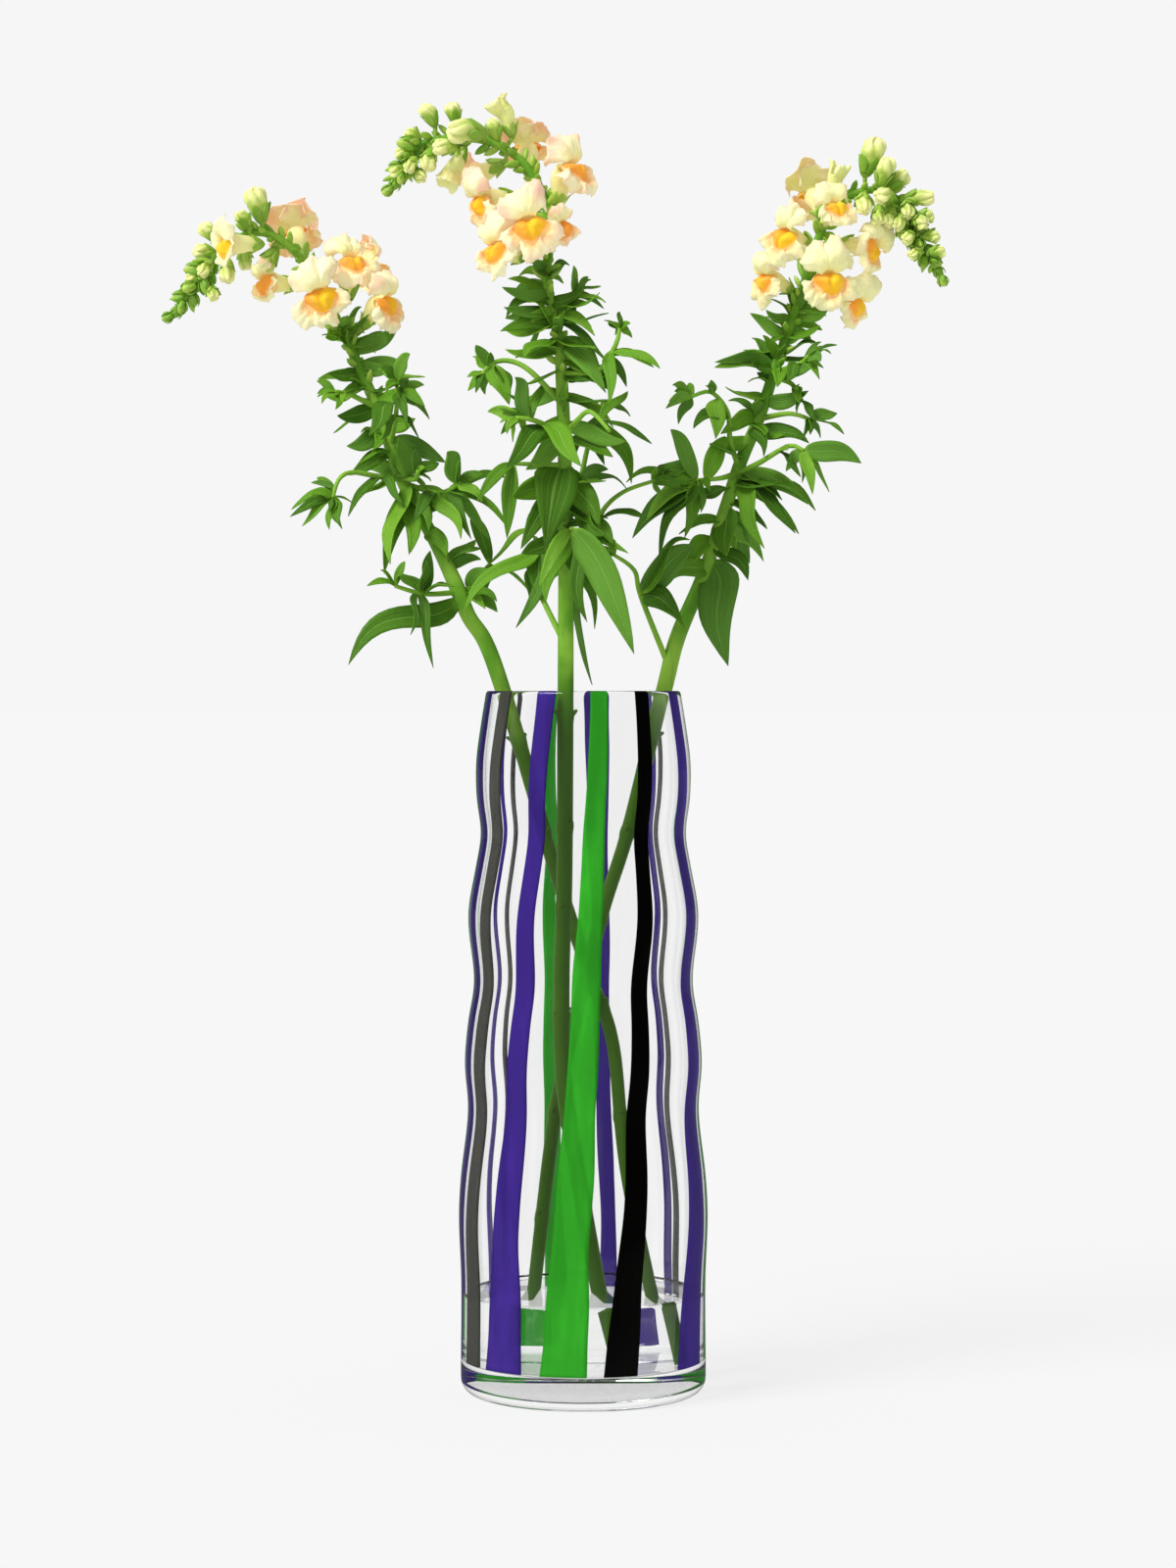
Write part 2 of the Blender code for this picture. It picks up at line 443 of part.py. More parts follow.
def make_water(collection, stems):
    gap = TOUCH_GAP
    profile = [(WATER_LEVEL, 0), (WATER_LEVEL, inner_radius(WATER_LEVEL) - gap)]
    profile += [(24, inner_radius(24) - gap), (VASE_FLOOR + 2, 56.5 - gap)]
    profile += [(VASE_FLOOR + gap, 50 - gap), (VASE_FLOOR + gap, 0)]
    water = turned("water", profile, collection, "water")
    cutters = bpy.data.collections.new("stem holes")
    bpy.context.scene.collection.children.link(cutters)
    for side, (points, radii) in stems.items():
        foot = points[0] + (points[0] - points[1]).normalized() * 0.012
        reach = [foot] + points[1:3]
        hole = tube("hole_" + side, reach, [(radius + gap * MM) for radius in radii[:3]], cutters, sides=1)
        hole.hide_render = True
        hole.display_type = "WIRE"
        cut = water.modifiers.new("Hole " + side, "BOOLEAN")
        cut.operation = "DIFFERENCE"
        cut.solver = "EXACT"
        cut.object = hole
    return water


# Stems and leaves

def stem_axis(side):
    """Points and radii of a main stem, with the cut end standing on the vase's floor."""
    table = STEM_AXES[side]
    points = [seen(across, up, depth) for across, up, depth, _ in table]
    radii = [radius * MM for *_, radius in table]
    slope = (points[1] - points[0]).normalized()
    low_edge = radii[0] * (1 - slope.z ** 2) ** 0.5
    floor = (VASE_FLOOR + TOUCH_GAP) * MM + low_edge
    points[0] = points[0] + slope * ((floor - points[0].z) / slope.z)
    return points, radii


def shoot_lines(side, trunk):
    """Side shoots, each rooted on the stem or on an earlier shoot."""
    lines = []
    for table in SHOOTS[side]:
        root = nearest(seen(*table[0]), [trunk] + lines)
        points = [root]
        for across, up, depth in table[1:]:
            points.append(seen(across, up, root.y / MM + (depth - table[0][2]) * DEPTH_SPREAD))
        lines.append(points)
    return lines


def strip(near, far):
    """Triangles between two rows of vertex numbers, which may differ in count."""
    faces = []
    a = b = 0
    while a < len(near) - 1 or b < len(far) - 1:
        if b == len(far) - 1 or (a < len(near) - 1 and a * (len(far) - 1) < b * (len(near) - 1)):
            faces.append((near[a], near[a + 1], far[b]))
            a += 1
        else:
            faces.append((near[a], far[b + 1], far[b]))
            b += 1
    return faces


def leaf(name, root, tip, width, collection, rng):
    """A lance-shaped blade that arches from root to tip, 0.8 mm thick."""
    reach = tip - root
    length = reach.length
    middle = (root + tip) / 2 + Vector((0, 0, 1)) * length * rng.uniform(0.08, 0.2)
    facing = Vector((rng.uniform(-0.35, 0.35), -0.8, 0.6))
    wide = max(width * 1.1, 2.2) * MM
    stalk = min(0.28 * wide, 1.3 * MM)
    rows = [(0.28, 0.86), (0.6, 0.88)] if width > 6.5 else [(0.4, 1.0)]
    columns = (-0.5, 0, 0.5) if width > 6.5 else (-0.5, 0.5)
    rows = [(0.0, stalk / wide, (-0.5, 0.5))] + [(along, share, columns) for along, share in rows]
    points = []
    lines = []
    for along, share, spots in rows:
        centre = root * (1 - along) ** 2 + middle * 2 * along * (1 - along) + tip * along ** 2
        ahead = ((middle - root) * (1 - along) + (tip - middle) * along).normalized()
        across = ahead.cross(facing).normalized()
        normal = across.cross(ahead).normalized()
        lines.append([len(points) + number for number in range(len(spots))])
        for spot in spots:
            fold = normal * abs(spot) * wide * share * 0.3
            points.append(centre + across * spot * wide * share + fold)
    points.append(tip)
    lines.append([len(points) - 1])
    faces = []
    for near, far in zip(lines, lines[1:]):
        faces += strip(near, far)
    mesh = bpy.data.meshes.new(name)
    mesh.from_pydata(points, [], faces)
    obj = new_object(name, mesh, collection)
    thick = obj.modifiers.new("Thickness", "SOLIDIFY")
    thick.thickness = 0.8 * MM
    thick.offset = 0
    return obj


def calyx(name, root, base, forward, size, collection, corners):
    """Flower stalk and sepals round the foot of a flower, with the given corners in turn."""
    frame = axes_of(forward, Vector((0.1, 0.2, -1)))
    stalk = axes_of(base - root, Vector((0.1, 0.2, -1)))
    s = size * MM
    rings = [round_ring(stalk, root, 0, 1.0 * MM, 4), round_ring(frame, base, -1.2 * s, 1.8 * s, 4)]
    outer = []
    inner = []
    for step in range(5 * len(corners)):
        angle = 72 * step / len(corners)
        turn = radians(angle)
        for ring, ahead, radius in zip((outer, inner), *corners[step % len(corners)]):
            spot = Vector((ahead * s, radius * s * sin(turn), -radius * s * cos(turn)))
            ring.append((angle, base + frame @ spot))
    rings += [outer, inner, [(0, base)]]
    return loft(name, rings, collection)


def green_bud(name, root, foot, forward, length, width, collection):
    """A small closed bud in its sepals, on a stalk that leaves the stem at root."""
    frame = axes_of(forward, Vector((0.2, 0.9, 0.1)))
    stalk = axes_of(foot - root, Vector((0.2, 0.9, 0.1)))
    long = length * MM
    wide = width / 2 * MM
    rings = [
        round_ring(stalk, root, 0, 0.9 * MM, 3), round_ring(frame, foot, 0, wide * 0.7, 4),
        round_ring(frame, foot, long * 0.6, wide, 4), [(0, foot + forward.normalized() * long)],
    ]
    return loft(name, rings, collection)


def make_tip_buds(side, axis, helpers):
    """Green buds in a spiral round the end of the head, smaller towards the tip."""
    stretch, count = TIP_BUDS[side]
    line = list(reversed(axis))
    for number in range(count):
        travel = (1.5 + (stretch - 1.5) * (number / (count - 1)) ** 0.85) * MM
        for end, start in zip(line, line[1:]):
            step = (start - end).length
            if travel <= step:
                break
            travel -= step
        ahead = (end - start).normalized()
        root = end - ahead * min(travel, step * 0.98)
        share = number / (count - 1)
        aside = ahead.orthogonal().normalized()
        aside.rotate(Matrix.Rotation(radians(137.5 * number), 3, ahead))
        forward = aside * (0.35 + 0.5 * share) + ahead * 0.65
        foot = root + forward.normalized() * (0.8 + 1.8 * share) * MM
        size = 4.4 + 2.8 * share
        green_bud(f"green_bud_{side}_{number}", root, foot, forward, size * 1.4, size, helpers)


# Flowers

LOBE_EDGE = [
    # angle from the lower side, reach, how far ahead; one notch and two shoulders for each lobe
    (14, 14.6, 20.0), (32, 10.4, 20.5), (48, 14.2, 19.5), (78, 13.4, 19.0), (102, 6.4, 18.5),
    (128, 13.4, 20.5), (162, 17.2, 22.0), (180, 15.6, 22.5),
]


def lobe_ring(open_share, back):
    """The edge of the five lobes as (angle, ahead, side, down)."""
    edge = LOBE_EDGE + [(360 - angle, reach, ahead) for angle, reach, ahead in reversed(LOBE_EDGE[:-1])]
    ring = []
    for angle, reach, ahead in edge:
        reach = 4.5 + (reach - 4.5) * open_share
        ahead = ahead * open_share + (24 + 0.12 * reach) * (1 - open_share) - back
        ring.append((angle, ahead, reach * sin(radians(angle)), -reach * cos(radians(angle))))
    return ring


def bloom(name, mouth, forward, lower, bend, size, open_share, collection):
    """One open snapdragon flower: tube, two-lobed upper lip, three-lobed lower lip, palate."""
    frame = axes_of(forward, lower)
    base = mouth - frame @ Vector((18 * size * MM, 0, 0))
    turn = Matrix.Rotation(radians(bend), 3, "Y")

    def put(angle, ahead, side, high, bent):
        spot = Vector((ahead, side, high))
        if bent:
            hinge = Vector((14, 0, 0))
            spot = hinge + turn @ (spot - hinge)
        return angle, base + frame @ (spot * size * MM)

    def oval(ahead, wide, high, count, drop, bent):
        ring = []
        for step in range(count):
            angle = 360 * step / count
            side = wide * sin(radians(angle))
            up = -high * cos(radians(angle)) - drop
            ring.append(put(angle, ahead, side, up, bent))
        return ring

    rings = [oval(0.4, 0.15, 0.15, 3, 0, False), oval(4.5, 3.0, 3.2, 6, 0.2, False)]
    rings.append(oval(13, 4.5, 4.6, 8, 0, True))
    rings.append([put(*corner, True) for corner in lobe_ring(open_share, 0.9)])
    rings.append([put(*corner, True) for corner in lobe_ring(open_share, 0)])
    if open_share > 0.5:
        palate = [(0, 21.8, 8.4), (45, 21.6, 8.2), (90, 19.6, 6.4), (135, 17.5, 4.0), (180, 17.5, 3.0)]
        palate += [(360 - angle, ahead, reach) for angle, ahead, reach in reversed(palate[1:-1])]
        rings.append([
            put(angle, ahead, reach * sin(radians(angle)), -reach * cos(radians(angle)), True)
            for angle, ahead, reach in palate
        ])
        rings.append([
            put(40, 24.0, 3.4, -5.2, True), put(140, 24.2, 3.6, -0.6, True),
            put(220, 24.2, -3.6, -0.6, True), put(320, 24.0, -3.4, -5.2, True),
        ])
    else:
        rings.append(oval(19, 2.6, 2.6, 6, 0, True))
    obj = loft(name, rings, collection)
    obj.data.materials.append(material("petal"))
    return obj, base


def bud(name, base, forward, length, width, collection):
    """A pale closed bud."""
    frame = axes_of(forward, Vector((0.1, 0.3, -1)))
    wide = width / 2 * MM
    reach = length * MM
    rings = [
        round_ring(frame, base, 0.4 * MM, 0.15 * MM, 3), round_ring(frame, base, 4.6 * MM, wide * 0.66, 6),
        round_ring(frame, base, reach * 0.72, wide, 6), round_ring(frame, base, reach, wide * 0.5, 6),
    ]
    obj = loft(name, rings, collection)
    obj.data.materials.append(material("bud"))
    return obj


def make_flowers(side, axis, collection, helpers):
    """Open flowers and pale buds of one head, with their stalks and sepals among the helpers."""
    raceme = [axis[RACEME_START[side] - 1:]]
    for number, (across, up, depth, forward, lower, bend, size, opened) in enumerate(BLOOMS[side], 1):
        forward = towards(forward)
        mouth = seen(across, up, depth)
        name = f"bloom_{side}_{number}"
        _, base = bloom(name, mouth, forward, towards(lower), bend, size, opened, collection)
        calyx(f"calyx_{side}_{number}", nearest(base, raceme), base, forward, size, helpers, SEPAL)
    for number, (across, up, depth, forward, length, width) in enumerate(BUDS[side], 1):
        forward = towards(forward)
        base = seen(across, up, depth)
        bud(f"bud_{side}_{number}", base, forward, length, width, collection)
        calyx(f"bud_calyx_{side}_{number}", nearest(base, raceme), base, forward, width / 10, helpers,
              [BUD_SEPAL])
    for number, (across, up, depth, forward, length, width) in enumerate(YOUNG_BUDS[side], 1):
        base = seen(across, up, depth)
        green_bud(f"young_bud_{side}_{number}", nearest(base, raceme), base, towards(forward), length, width,
                  helpers)


def make_stem(side, axis, radii, collection):
    """A main stem joined with its shoots, leaves, flower stalks, sepals and green buds."""
    helpers = bpy.data.collections.new("helpers " + side)
    bpy.context.scene.collection.children.link(helpers)
    rng = random.Random(len(side))
    stem = tube("stem_" + side, axis, radii, collection, sides=1)
    make_flowers(side, axis, collection, helpers)
    shoots = shoot_lines(side, axis)
    for number, line in enumerate(shoots):
        thin = [1.6 * MM - 0.6 * MM * step / (len(line) - 1) for step in range(len(line))]
        tube(f"shoot_{side}_{number}", line, thin, helpers, sides=0)
    for number, (x0, z0, x1, z1, width, deeper) in enumerate(LEAVES[side]):
        start = seen(x0, z0, 0)
        root = nearest(Vector((start.x, 0, start.z)), [axis] + shoots)
        tip = seen(x1, z1, root.y / MM + deeper * DEPTH_SPREAD)
        leaf(f"leaf_{side}_{number}", root, tip, width, helpers, rng)
    make_tip_buds(side, axis, helpers)
    join_all(stem, helpers)
    stem.data.materials.clear()
    stem.data.materials.append(material("stem"))
    return stem


def join_all(obj, helpers):
    """Applies one Boolean union with everything in the helpers collection, then removes it."""
    union = obj.modifiers.new("Join", "BOOLEAN")
    union.operation = "UNION"
    union.operand_type = "COLLECTION"
    union.solver = "MANIFOLD"
    union.collection = helpers
    mesh = bpy.data.meshes.new_from_object(obj.evaluated_get(bpy.context.evaluated_depsgraph_get()))
    obj.modifiers.clear()
    obj.data = mesh
    for helper in list(helpers.objects):
        bpy.data.objects.remove(helper, do_unlink=True)
    bpy.data.collections.remove(helpers)


def build():
    clear_scene()
    collection = bpy.data.collections.new("Snapdragon stems")
    bpy.context.scene.collection.children.link(collection)
    make_vase(collection)
    stems = {side: stem_axis(side) for side in STEM_AXES}
    make_water(collection, stems)
    for side, (axis, radii) in stems.items():
        make_stem(side, axis, radii, collection)


build()
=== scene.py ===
# Snapdragon stems in a tall striped glass vase: the looks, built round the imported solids
import random
from math import ceil, cos, degrees, exp, pi, radians, sin
import bpy
import bmesh
from mathutils import Matrix, Vector, noise


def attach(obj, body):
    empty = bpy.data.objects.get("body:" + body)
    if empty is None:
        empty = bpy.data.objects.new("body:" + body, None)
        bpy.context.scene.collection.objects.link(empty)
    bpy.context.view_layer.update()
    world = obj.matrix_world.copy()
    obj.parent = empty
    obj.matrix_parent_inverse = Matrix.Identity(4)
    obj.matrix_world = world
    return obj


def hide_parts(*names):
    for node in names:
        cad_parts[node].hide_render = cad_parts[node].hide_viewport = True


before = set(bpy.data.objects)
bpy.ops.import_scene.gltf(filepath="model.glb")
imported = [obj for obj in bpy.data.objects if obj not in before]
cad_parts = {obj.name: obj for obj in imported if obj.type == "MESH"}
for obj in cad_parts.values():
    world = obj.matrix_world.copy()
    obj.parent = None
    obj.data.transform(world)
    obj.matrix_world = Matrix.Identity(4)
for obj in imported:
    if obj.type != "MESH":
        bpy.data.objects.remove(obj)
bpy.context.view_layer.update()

noise.seed_set(7)       # so petals and buds crumple the same way every time

mm = 0.001
up = Vector((0, 0, 1))
pointNumbers = ("along", "across", "tone", "warm")     # what each point carries for the materials

# The plants are laid out as seen from the front at the vase's axis, as across, up and depth in
# millimetres, so what is nearer is drawn in towards the eye line and what is farther is spread
layout = {"eyeDistance": 1964, "eyeHeight": 360, "scale": 1.007, "depthSpread": 1.8}


def seen(across, high, depth):
    spread = layout["scale"] * (1 + depth / layout["eyeDistance"])
    height = layout["eyeHeight"] + (high - layout["eyeHeight"]) * spread
    return Vector((across * spread, depth, height)) * mm


def towards(direction):
    right, near, high = direction
    return Vector((right, -near, high)).normalized()


def axesOf(forward, lower):
    # X is forward and -Z is the lower side
    x = forward.normalized()
    z = -(lower - lower.dot(x) * x).normalized()
    return Matrix((x, z.cross(x), z)).transposed()


def around(ahead, radius, turn):
    # a place round a flower's own axis, turned from its lower side
    return Vector((ahead, radius * sin(turn), -radius * cos(turn)))


def turnedAside(ahead, turn):
    # square to the way ahead, and turned round it
    aside = ahead.orthogonal().normalized()
    aside.rotate(Matrix.Rotation(turn, 3, ahead))
    return aside


def smoothStep(value, low, high):
    t = min(max((value - low) / (high - low), 0), 1)
    return t * t * (3 - 2 * t)


def nearest(place, lines):
    # the closest spot on any of the lines, looking from the front when place has no depth
    looking = Vector((1, 0 if place.y == 0 else 1, 1))
    best = None
    for line in lines:
        for start, end in zip(line, line[1:]):
            along = (end - start) * looking
            share = ((place - start) * looking).dot(along) / max(along.length_squared, 1e-12)
            spot = start + (end - start) * min(max(share, 0.02), 0.98)
            gap = ((spot - place) * looking).length
            if best is None or gap < best[0]:
                best = (gap, spot)
    return best[1]


def catmull(a, b, c, d, t):
    return 0.5 * ((2 * b) + (c - a) * t + (2 * a - 5 * b + 4 * c - d) * t * t
                  + (3 * b - a - 3 * c + d) * t ** 3)


def smoothLine(points, radii, step):
    # rounds a line of points off and gives it even, short steps
    line = []
    wide = []
    last = len(points) - 1
    for i in range(last):
        picks = [min(max(i + k, 0), last) for k in (-1, 0, 1, 2)]
        count = max(1, round((points[i + 1] - points[i]).length / step))
        for k in range(count):
            line.append(catmull(*(points[pick] for pick in picks), k / count))
            wide.append(catmull(*(radii[pick] for pick in picks), k / count))
    return line + [points[-1]], wide + [radii[-1]]


def run(plan, t):
    # an eased run through evenly spaced pairs
    spot = min(max(t, 0), 1) * (len(plan) - 1)
    i = min(int(spot), len(plan) - 2)
    pick = [plan[min(max(i + k, 0), len(plan) - 1)] for k in (-1, 0, 1, 2)]
    return tuple(catmull(*(entry[part] for entry in pick), spot - i) for part in (0, 1))


# Meshes are gathered as points and faces, with the named numbers of each point
def newShape():
    return {"points": [], "faces": [], **{key: [] for key in pointNumbers}}


def addGrid(shape, rows, closed=False):
    # rows of (point, along, across, tone, warm)
    first = len(shape["points"])
    wide = len(rows[0])
    for row in rows:
        for entry in row:
            for key, given in zip(("points", *pointNumbers), entry):
                shape[key].append(given)
    for r in range(len(rows) - 1):
        for c in range(wide if closed else wide - 1):
            a = first + r * wide + c
            b = first + r * wide + (c + 1) % wide
            shape["faces"].append((a, b, b + wide, a + wide))


def addSheet(shape, rowCount, columnCount, spotAt, closed=False):
    # spotAt gives the entry of a grid for each row and column
    addGrid(shape, [[spotAt(r, c) for c in range(columnCount)] for r in range(rowCount)], closed)


def addTube(shape, line, radii, sides, tone=0.5, warm=0.0, ridge=0.0):
    side = (line[1] - line[0]).orthogonal().normalized()
    last = len(line) - 1
    rows = [[(line[0], 0, 0, tone, warm)] * sides]
    for i, (place, radius) in enumerate(zip(line, radii)):
        ahead = (line[min(i + 1, last)] - line[max(i - 1, 0)]).normalized()
        side = (side - side.dot(ahead) * ahead).normalized()
        other = ahead.cross(side)
        row = []
        for k in range(sides):
            turn = 2 * pi * k / sides
            r = radius * (1 + ridge * cos(4 * turn))
            spot = place + side * r * cos(turn) + other * r * sin(turn)
            row.append((spot, i / last, k / sides, tone, warm))
        rows.append(row)
    rows.append([(line[-1], 1, 0, tone, warm)] * sides)
    addGrid(shape, rows, closed=True)


def newObject(name, data):
    made = bpy.data.objects.new(name, data)
    bpy.context.scene.collection.objects.link(made)
    return made


def finishPiece(name, shape, materials, replaced, thickness=0.0, underside=0):
    mesh = bpy.data.meshes.new(name)
    mesh.from_pydata(shape["points"], [], shape["faces"])
    for key in pointNumbers:
        mesh.attributes.new(key, "FLOAT", "POINT").data.foreach_set("value", shape[key])
    form = bmesh.new()
    form.from_mesh(mesh)
    bmesh.ops.remove_doubles(form, verts=form.verts, dist=1e-6)
    bmesh.ops.recalc_face_normals(form, faces=form.faces)
    form.to_mesh(mesh)
    form.free()
    for material in materials:
        mesh.materials.append(material)
    mesh.shade_smooth()
    piece = newObject(name, mesh)
    if thickness:
        solid = piece.modifiers.new("thickness", "SOLIDIFY")
        solid.thickness = thickness * mm
        solid.offset = 0.0
        solid.material_offset = underside
    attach(piece, "root")
    if replaced:
        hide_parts(*replaced)


# A number or colour that varies over a surface, so that materials are written as plain sums
class Grade:
    def __init__(self, socket):
        self.socket = socket
        self.tree = socket.id_data

    def worked(self, kind, *others):
        node = self.tree.nodes.new("ShaderNodeMath")
        node.operation = kind
        for socket, given in zip(node.inputs, (self, *others)):
            feed(socket, given)
        return Grade(node.outputs[0])

    def __add__(self, other):
        return self.worked("ADD", other)

    def __sub__(self, other):
        return self.worked("SUBTRACT", other)

    def __mul__(self, other):
        return self.worked("MULTIPLY", other)

    def __pow__(self, other):
        return self.worked("POWER", other)

    def __abs__(self):
        return self.worked("ABSOLUTE")

    def rest(self):
        # what is left up to 1
        return self * -1.0 + 1.0


def feed(socket, given):
    # a socket takes a grade, a colour or a number
    if isinstance(given, Grade):
        given.tree.links.new(given.socket, socket)
    else:
        socket.default_value = (*given, 1) if isinstance(given, tuple) else given


def newMaterial(name, sockets):
    material = bpy.data.materials.new(name)
    material.use_nodes = True
    shader = material.node_tree.nodes["Principled BSDF"]
    for socket, given in sockets.items():
        shader.inputs[socket].default_value = given
    return material, material.node_tree, shader


def numbersOf(tree, *names):
    # the numbers that the mesh carries
    made = []
    for name in names:
        node = tree.nodes.new("ShaderNodeAttribute")
        node.attribute_name = name
        made.append(Grade(node.outputs["Fac"]))
    return made


def placeOf(tree, kind, part):
    # one part of the surface's own place, or of the direction in the world
    node = tree.nodes.new("ShaderNodeSeparateXYZ")
    tree.links.new(tree.nodes.new("ShaderNodeTexCoord").outputs[kind], node.inputs[0])
    return Grade(node.outputs[part])


def ease(source, low, high, bottom=0.0, top=1.0):
    node = source.tree.nodes.new("ShaderNodeMapRange")
    node.interpolation_type = "SMOOTHSTEP"
    feed(node.inputs["Value"], source)
    for socket, given in zip(("From Min", "From Max", "To Min", "To Max"), (low, high, bottom, top)):
        node.inputs[socket].default_value = given
    return Grade(node.outputs["Result"])


def mixed(factor, a, b, kind="RGBA"):
    # between two colours, or with kind FLOAT between two numbers
    tree = next(given.tree for given in (factor, a, b) if isinstance(given, Grade))
    node = tree.nodes.new("ShaderNodeMix")
    node.data_type = kind
    first, result = (6, 2) if kind == "RGBA" else (2, 0)
    for number, given in zip((0, first, first + 1), (factor, a, b)):
        feed(node.inputs[number], given)
    return Grade(node.outputs[result])


def speckle(tree, scale, detail=3.0, rough=0.5, stretch=None):
    place = tree.nodes.new("ShaderNodeTexCoord").outputs["Object"]
    if stretch:
        mapping = tree.nodes.new("ShaderNodeMapping")
        mapping.inputs["Scale"].default_value = stretch
        tree.links.new(place, mapping.inputs["Vector"])
        place = mapping.outputs["Vector"]
    node = tree.nodes.new("ShaderNodeTexNoise")
    for socket, given in (("Scale", scale), ("Detail", detail), ("Roughness", rough)):
        node.inputs[socket].default_value = given
    tree.links.new(place, node.inputs["Vector"])
    return Grade(node.outputs["Fac"])


def bumpy(shader, height, strength, distance):
    node = height.tree.nodes.new("ShaderNodeBump")
    node.inputs["Strength"].default_value = strength
    node.inputs["Distance"].default_value = distance
    feed(node.inputs["Height"], height)
    feed(shader.inputs["Normal"], Grade(node.outputs["Normal"]))


def clearMaterial(name, look):
    material, tree, shader = newMaterial(name, {
        "Base Color": (*look["tint"], 1), "IOR": look["ior"], "Roughness": 0.0, "Transmission Weight": 1.0})
    bumpy(shader, speckle(tree, *look["uneven"]), *look["unevenDepth"])
    # lamps and diffuse bounces pass straight through, so what stands in it is lit
    rays = tree.nodes.new("ShaderNodeLightPath").outputs
    clear = tree.nodes.new("ShaderNodeBsdfTransparent")
    clear.inputs["Color"].default_value = (*look["lampTint"], 1)
    mix = tree.nodes.new("ShaderNodeMixShader")
    feed(mix.inputs[0], Grade(rays["Is Shadow Ray"]).worked("MAXIMUM", Grade(rays["Is Diffuse Ray"])))
    tree.links.new(shader.outputs[0], mix.inputs[1])
    tree.links.new(clear.outputs[0], mix.inputs[2])
    tree.links.new(mix.outputs[0], tree.nodes["Material Output"].inputs["Surface"])
    return material


vase = {
    "height": 360,
    "floor": 16,
    "floorRings": (44, 20, 0),
    "floorFlat": 50.4,      # radius of the flat floor, and of the curve round it
    "floorCurve": 8,
    "wallFrom": 27.0,       # where the curve has run into the wall
    "wall": 4.2,
    "rimWall": 3.4,
    "rimFrom": 320,         # the wall thins from here up
    "footCurve": 8,
    "segments": 160,
    "step": 1.5,
    # height and outer radius, from the rim down
    "outline": [
        (360, 49.85), (341, 52.9), (323, 55.1), (305, 54.8), (287, 52.6), (270, 55.2), (250, 58.8),
        (238, 58.9), (211, 56.1), (190, 59.2), (169, 60.9), (145, 59.2), (111, 62.9), (90, 63.9),
        (57, 62.7), (9, 62.9), (2, 61.2),
    ],
    "evened": (12, 354),    # the heights between which the outline is evened out
    # the rounded rim, as height above the rim and distance from the hollow
    "lip": [(-1.4, 0.0), (-0.5, 0.35), (0.0, 1.2), (0.0, 2.0), (-0.4, 2.9)],
    "ior": 1.38,
    "tint": (0.998, 1.0, 0.998),
    "lampTint": (0.995, 0.997, 0.995),
    "uneven": (26, 1.5, 0.4, (1, 1, 0.45)),     # hand blown glass is never quite even
    "unevenDepth": (0.05, 0.0015),
}


def outerRadius(height):
    # a smooth line through the outline's points
    outline = vase["outline"]
    last = len(outline) - 1
    for i, ((top, wide), (low, narrow)) in enumerate(zip(outline, outline[1:])):
        if low <= height <= top:
            span = top - low
            slopeTop = slopeLow = (wide - narrow) / span
            if i:
                slopeTop = (outline[i - 1][1] - narrow) / max(outline[i - 1][0] - low, 1)
            if i < last - 2:
                slopeLow = (wide - outline[i + 2][1]) / max(top - outline[i + 2][0], 1)
            elif i == last - 2:
                slopeLow = 0
            t = (height - low) / span
            return ((2 * t ** 3 - 3 * t ** 2 + 1) * narrow + (t ** 3 - 2 * t ** 2 + t) * span * slopeLow
                    + (3 * t ** 2 - 2 * t ** 3) * wide + (t ** 3 - t ** 2) * span * slopeTop)
    return outline[-1][1]


def evenRadius(height):
    # evened out over a few millimetres, as blown glass is
    low, high = vase["evened"]
    if height < low or height > high:
        return outerRadius(height)
    return sum(outerRadius(height + 1.5 * away) for away in range(-3, 4)) / 7


def innerRadius(height):
    rimShare = max(0, (height - vase["rimFrom"]) / (vase["height"] - vase["rimFrom"]))
    return evenRadius(height) - vase["wall"] + (vase["wall"] - vase["rimWall"]) * rimShare


def steps(start, end, step):
    return [start + step * k for k in range(ceil((end - start) / step))]


def hollowCurve(into=0.0):
    # the curve from the flat floor up into the wall, let into the glass by a little
    curve = vase["floorCurve"]
    points = []
    for k in range(1, 9):
        turn = radians(90 * k / 8)
        points.append((vase["floor"] + curve * (1 - cos(turn)) - into,
                       vase["floorFlat"] + (curve + into) * sin(turn)))
    return points


def onTurn(radius, turn, height):
    return Vector((radius * cos(turn), radius * sin(turn), height)) * mm


def turnedShape(profile):
    shape = newShape()
    count = vase["segments"]

    def spotAt(i, k):
        height, radius = profile[i]
        return onTurn(radius, 2 * pi * k / count, height), i / len(profile), k / count, 0.5, 0.0

    addSheet(shape, len(profile), count, spotAt, closed=True)
    return shape


def makeVase():
    top, foot, step = vase["height"], vase["footCurve"], vase["step"]
    profile = [(vase["floor"], radius) for radius in reversed(vase["floorRings"])] + hollowCurve()
    profile += [(height, innerRadius(height)) for height in steps(vase["wallFrom"], top - 2.5, step)]
    rim = innerRadius(top - 1.5)
    profile += [(top + high, rim + out) for high, out in vase["lip"]]
    profile.append((top - 1.4, outerRadius(top - 1.4)))
    profile += [(height, evenRadius(height)) for height in steps(top - 4.0, foot + 2, -step)]
    wide = outerRadius(foot) - foot
    for k in range(10):
        turn = radians(10 * k)
        profile.append((foot * (1 - sin(turn)), wide + foot * cos(turn)))
    profile += [(0, 50), (0, 0)]
    finishPiece("vaseGlass", turnedShape(profile), [clearMaterial("clear glass", vase)], ["vase"])


